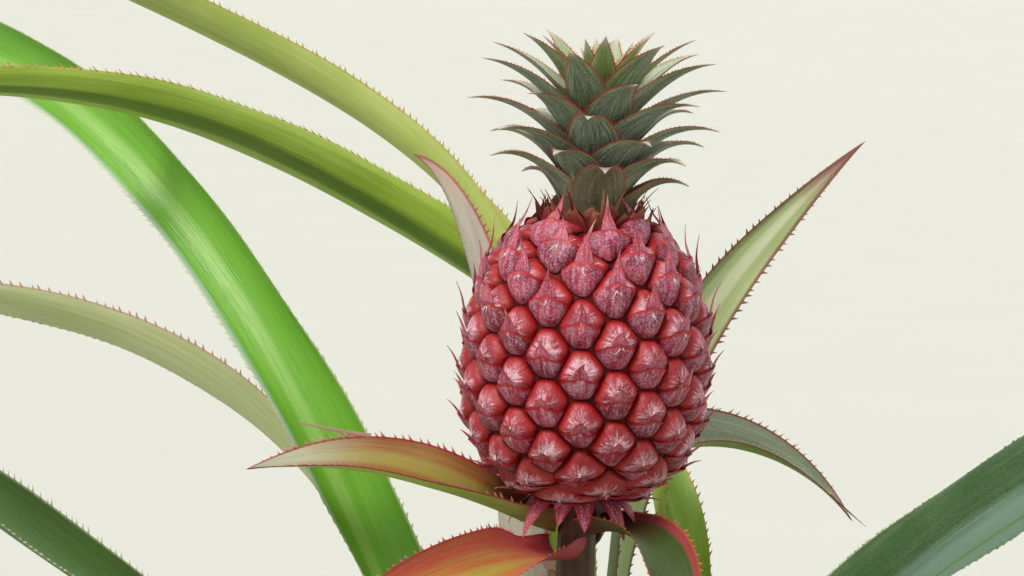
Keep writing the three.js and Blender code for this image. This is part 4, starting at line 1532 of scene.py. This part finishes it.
    def spine_skin(self) -> bpy.types.Material:
        """Crimson points with redder edges, some of them dry and pale at the tip."""
        shader = Shader("fruit_spine")
        along, across, tone, pale = shader.marks("along", "across", "tone", "pale")
        dust = shader.noise(shader.place(), 1300.0)
        streak = shader.pattern(across * 4, along * 1.5, tone * 9)
        colour = shader.blend("98203c", "c84a62", (streak + tone * 0.15).step(0.3, 0.7))
        colour = shader.blend(colour, "d0a8bc", (dust * 0.8 + streak * 0.5).step(0.56, 0.9) * 0.75)
        colour = shader.blend(colour, "c02430", abs(across).step(0.55, 1.0) * along.step(0.1, 0.3) * 0.8)
        colour = shader.blend(colour, "9c5a78", along.step(0.32, 0.1) * streak.step(0.25, 0.6))
        colour = shader.blend(colour, "d6b49c", along.step(0.72, 0.9) * pale)
        return shader.finish(colour, roughness=0.5, relief=streak, depth=0.3, Specular_IOR_Level=0.5)

    def thread_skin(self) -> bpy.types.Material:
        """Pale dry threads, browner at the tip."""
        shader = Shader("fruit_thread")
        along, tone = shader.marks("along", "tone")
        grain = shader.noise(shader.place(), 800.0)
        colour = shader.blend("e0c4c4", "9a6a60", (along * 0.8 + tone * 0.2 + grain * 0.3).step(0.5, 1.1))
        return shader.finish(colour, roughness=0.7, relief=grain, depth=0.1)

    def stub_skin(self) -> bpy.types.Material:
        """Dry brown scale with a reddish foot."""
        shader = Shader("fruit_stub")
        along, tone = shader.marks("along", "tone")
        grain = shader.noise(shader.place(), 500.0, 4.0)
        colour = shader.blend("7c1822", "9c6448", (along * 0.8 + grain * 0.5 + tone * 0.3).step(0.5, 1.2))
        return shader.finish(colour, roughness=0.75, relief=grain, depth=0.4)


@dataclass(frozen=True)
class CrownCourse(Course):
    """A crown leaf: broad and clasping at its foot, drawn out to a slim curved tip."""

    def half_width_at(self, u: Array) -> Array:
        """Half of the width, which narrows in a long hollow curve."""
        return self.half_width * (1 - u ** 1.6) ** 1.15

    def span_at(self, u: Array) -> Array:
        """Half of the section's angle, from clasping to a folded tip."""
        return mix(min(self.half_width / self.wraps, 1.15), 0.55, smooth(u / 0.45))


@dataclass
class Crown:
    """The leafy crown: a short core and leaves that spiral up it.

    Attributes:
        head: The frame that it stands in.
        foot: Height of its foot over the fruit's base.
        core_height: Its core's height.
        core_radii: The core's radius at foot and top.
        count: How many leaves it has.
        turn: The angle from one leaf to the next, in degrees.
        root: How deep the leaves start in the core.
        teeth: The leaves' teeth.
        groups: The pieces that the leaves are made in, and the first leaf of each.
        stages: Places from foot to heart, each with a leaf's lean at foot and tip, its length and half of
            its width.
    """

    head: Head
    foot: float = 120.3
    core_height: float = 57.0
    core_radii: tuple[float, float] = (16.0, 3.0)
    count: int = 44
    turn: float = SPIRAL
    root: float = 2.0
    teeth: Teeth = field(default_factory=lambda: Teeth(spacing=1.5, length=0.85, first=0.1, forward=0.9))
    groups: tuple[tuple[str, int], ...] = (("low", 0), ("middle", 16), ("heart", 32))
    stages: tuple[tuple[float, float, float, float, float], ...] = (
        (0.0, -8, 114, 34, 13.5),
        (0.35, 12, 102, 52, 14),
        (0.7, 14, 76, 58, 12.5),
        (0.85, 12, 56, 42, 8.5),
        (1.0, 4, 16, 19, 4.5),
    )

    def course(self, index: int) -> Course:
        """The course of one leaf, in the head's own frame."""
        place = index / (self.count - 1)
        table = np.array(self.stages)
        lean0, lean1, length, half_width = (np.interp(place, table[:, 0], table[:, k]) for k in range(1, 5))
        azimuth = self.turn * index
        radius = mix(*self.core_radii, place) - self.root
        height = mix(self.root, self.core_height - self.root, place)
        return CrownCourse(
            azimuth=azimuth, length=length * (1 + 0.07 * vary(index, 7)), half_width=half_width,
            lean=(lean0, lean1), start=outward(azimuth) * radius + UP * (self.foot + height),
            wraps=max(radius, 6.0), bend=1.1, sweep=8 * vary(index, 8), turn=0.5, thickness=1.3)

    def build(self) -> None:
        """Make the core, and the leaves in three pieces from the lowest to the heart."""
        surface = Surface()
        rings, sides = 12, 40
        turn, height = np.meshgrid(np.linspace(0, 360, sides, endpoint=False),
                                   np.linspace(0, self.core_height, rings))
        radius = mix(*self.core_radii, height / self.core_height)
        points = outward(turn) * radius[..., None] + UP * (self.foot + height)[..., None]
        surface.add_grid(self.head.seat(points))
        surface.made("crown_core", "crown", [self.core_skin()], sharp=80, stands_for=("crown",))
        materials = [
            self.leaf_skin("crown_upper", "7c8e70", "c0cab6", 0.6),
            self.leaf_skin("crown_outer", "525e4a", "848e7a", 0.75),
            self.teeth_skin(),
        ]
        ends = [first for _, first in self.groups[1:]] + [self.count]
        for (name, first), end in zip(self.groups, ends):
            leaves = Surface(*BLADE_MARKS)
            for index in range(first, end):
                tone = index / (self.count - 1)
                Blade(self.course(index), tone, self.teeth, rows=26, steps=10, ripple=0.15).build(leaves)
            leaves.points = [self.head.seat(points) for points in leaves.points]
            leaves.made(f"crown_{name}", "crown", materials, sharp=50)

    def core_skin(self) -> bpy.types.Material:
        """The brown core between the leaves' feet."""
        shader = Shader("crown_core")
        grain = shader.noise(shader.place(), 400.0)
        colour = shader.blend("3a1c14", "6a5a30", grain)
        return shader.finish(colour, roughness=0.6, relief=grain, depth=0.3)

    def leaf_skin(self, name: str, dark: str, light: str, scurf: float) -> bpy.types.Material:
        """One face of the leaves, whose tone is their place from foot to heart.

        Args:
            name: The material's name.
            dark: The darker screen colour.
            light: The lighter screen colour.
            scurf: How much whitish scurf covers it.

        Returns:
            The material.
        """
        shader = Shader(name)
        run, across, edge, tip, tone = shader.marks(*BLADE_MARKS)
        streak = shader.pattern(across * 12, run * 0.06, tone * 60, 4.0)
        dust = shader.noise(shader.place(), 1600.0)
        speck = shader.pattern(across * 26, run * 0.5, tone * 31, 2.0)
        colour = shader.blend(dark, light, streak.step(0.3, 0.7))
        colour = shader.blend(colour, "86a03a", (tone - run * 0.006).step(0.42, 0.8) * 0.8)
        colour = shader.blend(colour, "a8b83c", (edge + streak).step(3.2, 0.9) * 0.25)
        colour = shader.blend(colour, "b4bcb0", (dust * 0.8 + streak * 0.5).step(0.58, 0.9) * scurf)
        colour = shader.blend(colour, "2b3228", speck.step(0.58, 0.7) * 0.6)
        colour = shader.blend(colour, "6e5228", tone.step(0.17, 0.0) * 0.65)
        colour = shader.blend(colour, "ddd0cc", (tip + streak * 6).step(13.0, 4.0) * 0.7)
        red_margin = edge.step(0.62, 0.3) * tip.step(1.5, 10.0)
        colour = shader.blend(colour, "ae1c34", red_margin * 0.95)
        roughness = (0.5 + streak * 0.2).clamped()
        relief = streak * 0.6 + dust * 0.4
        return shader.finish(colour, roughness, relief, depth=0.3, Specular_IOR_Level=0.4)

    def teeth_skin(self) -> bpy.types.Material:
        """Red teeth."""
        shader = Shader("crown_teeth")
        grain = shader.noise(shader.place(), 900.0)
        colour = shader.blend("a8203a", "c8505c", grain)
        return shader.finish(colour, roughness=0.5, relief=grain, depth=0.1)


@dataclass
class Studio:
    """A plain pale floor, soft light and the camera at the photograph's viewing angle.

    Attributes:
        aim: What the middle of the picture shows, in millimetres.
        elevation: How far the camera looks down, in degrees.
        distance: How far it stands from there, in millimetres.
        focal: Its focal length in pixels of the picture.
        width: The picture's width in pixels.
        sensor: The camera's sensor width, in millimetres.
        clip: The nearest and farthest that it sees, in metres.
        sky: The surroundings' screen colour.
        sky_strength: How bright the surroundings are.
        flat: How far the floor is level, in metres.
        reach: How far it goes, in metres.
        rise: How high its edge stands, in metres.
        floor_gap: How far it lies under the plant, in metres.
    """

    aim: Array = field(default_factory=lambda: np.array([-26.0, 0.0, 426.0]))
    elevation: float = 5.0
    distance: float = 1200.0
    focal: float = 2857.0
    width: float = 1024.0
    sensor: float = 36.0
    clip: tuple[float, float] = (0.05, 200.0)
    sky: str = "f4f6f4"
    sky_strength: float = 0.72
    flat: float = 8.0
    reach: float = 60.0
    rise: float = 9.0
    floor_gap: float = 0.0005

    def build(self) -> None:
        """Make all of the studio."""
        self.build_floor()
        self.build_light("key", (-0.55, -0.75, 1.25), strength=2.6, spread=28.0, colour="fff8ee")
        self.build_light("back", (0.5, 1.0, 0.9), strength=0.7, spread=40.0, colour="f6ffee")
        world = bpy.data.worlds.new("studio")
        world.use_nodes = True
        background = world.node_tree.nodes["Background"]
        background.inputs["Color"].default_value = paint(self.sky)
        background.inputs["Strength"].default_value = self.sky_strength
        bpy.context.scene.world = world
        bpy.context.scene.view_settings.view_transform = "Standard"
        self.build_camera()

    def build_floor(self) -> None:
        """A wide pale floor, a hair under the plant's foot, that curves up far away and hides the horizon."""
        mesh = bpy.data.meshes.new("floor")
        rings, corners = 12, 96
        radii = np.linspace(self.flat, self.reach, rings)
        rise = self.rise * smooth((radii - self.flat) / (self.reach - self.flat)) - self.floor_gap
        turn = np.linspace(0, 360, corners, endpoint=False)
        points = outward(turn)[None] * radii[:, None, None] + UP * rise[:, None, None]
        faces = [tuple(range(corners))]
        for first in range(0, (rings - 1) * corners, corners):
            for k in range(corners):
                after = (k + 1) % corners
                faces.append((first + k, first + corners + k, first + corners + after, first + after))
        mesh.from_pydata([tuple(point) for point in points.reshape(-1, 3)], [], faces)
        mesh.shade_smooth()
        shader = Shader("floor")
        grain = shader.noise(shader.place(), 3.0)
        colour = shader.blend("c2c4be", "c6c8c2", grain)
        mesh.materials.append(shader.finish(colour, roughness=0.9, relief=grain, depth=0.01))
        floor = bpy.data.objects.new("floor", mesh)
        bpy.context.scene.collection.objects.link(floor)

    def build_light(self, name: str, place: tuple[float, float, float], strength: float, spread: float,
                    colour: str) -> None:
        """Even light from a side of the sky.

        Args:
            name: The lamp's name.
            place: The side that the light comes from.
            strength: Its strength.
            spread: The angle that its source spans, in degrees, which softens the shadows.
            colour: Its screen colour.
        """
        light = bpy.data.lights.new(name, "SUN")
        light.energy, light.angle, light.color = strength, math.radians(spread), paint(colour)[:3]
        lamp = bpy.data.objects.new(name, light)
        bpy.context.scene.collection.objects.link(lamp)
        self.point_at(lamp, np.array(place), np.zeros(3))

    def build_camera(self) -> None:
        """The camera, with its depth of field off."""
        data = bpy.data.cameras.new("camera")
        data.sensor_width = self.sensor
        data.lens = self.focal / self.width * self.sensor
        data.clip_start, data.clip_end = self.clip
        camera = bpy.data.objects.new("camera", data)
        bpy.context.scene.collection.objects.link(camera)
        slope = math.radians(self.elevation)
        back = np.array([0, -math.cos(slope), math.sin(slope)])
        self.point_at(camera, (self.aim + back * self.distance) * MILLIMETRE, self.aim * MILLIMETRE)
        bpy.context.scene.camera = camera

    def point_at(self, thing: bpy.types.Object, place: Array, target: Array) -> None:
        """Put a lamp or camera at a place, looking at a target."""
        thing.location = place
        thing.rotation_mode = "QUATERNION"
        thing.rotation_quaternion = Vector(target - place).to_track_quat("-Z", "Y")


def main() -> None:
    """Build the plant and its studio."""
    logging.basicConfig(level=logging.INFO, format="%(message)s")
    stem = Stem()
    head = Head(FRUIT_BASE, FRUIT_LEAN)
    lean = head.turn(UP)
    stalk = Stalk((STEM_TOP + GAP) * UP, FRUIT_BASE - GAP * lean, lean)
    dresser = Dresser()
    Studio().build()
    for part in (stem, stalk, Rosette(stem, dresser), StalkBracts(stalk, dresser), Fruit(head), Crown(head)):
        part.build()


if __name__ == "__main__":
    main()
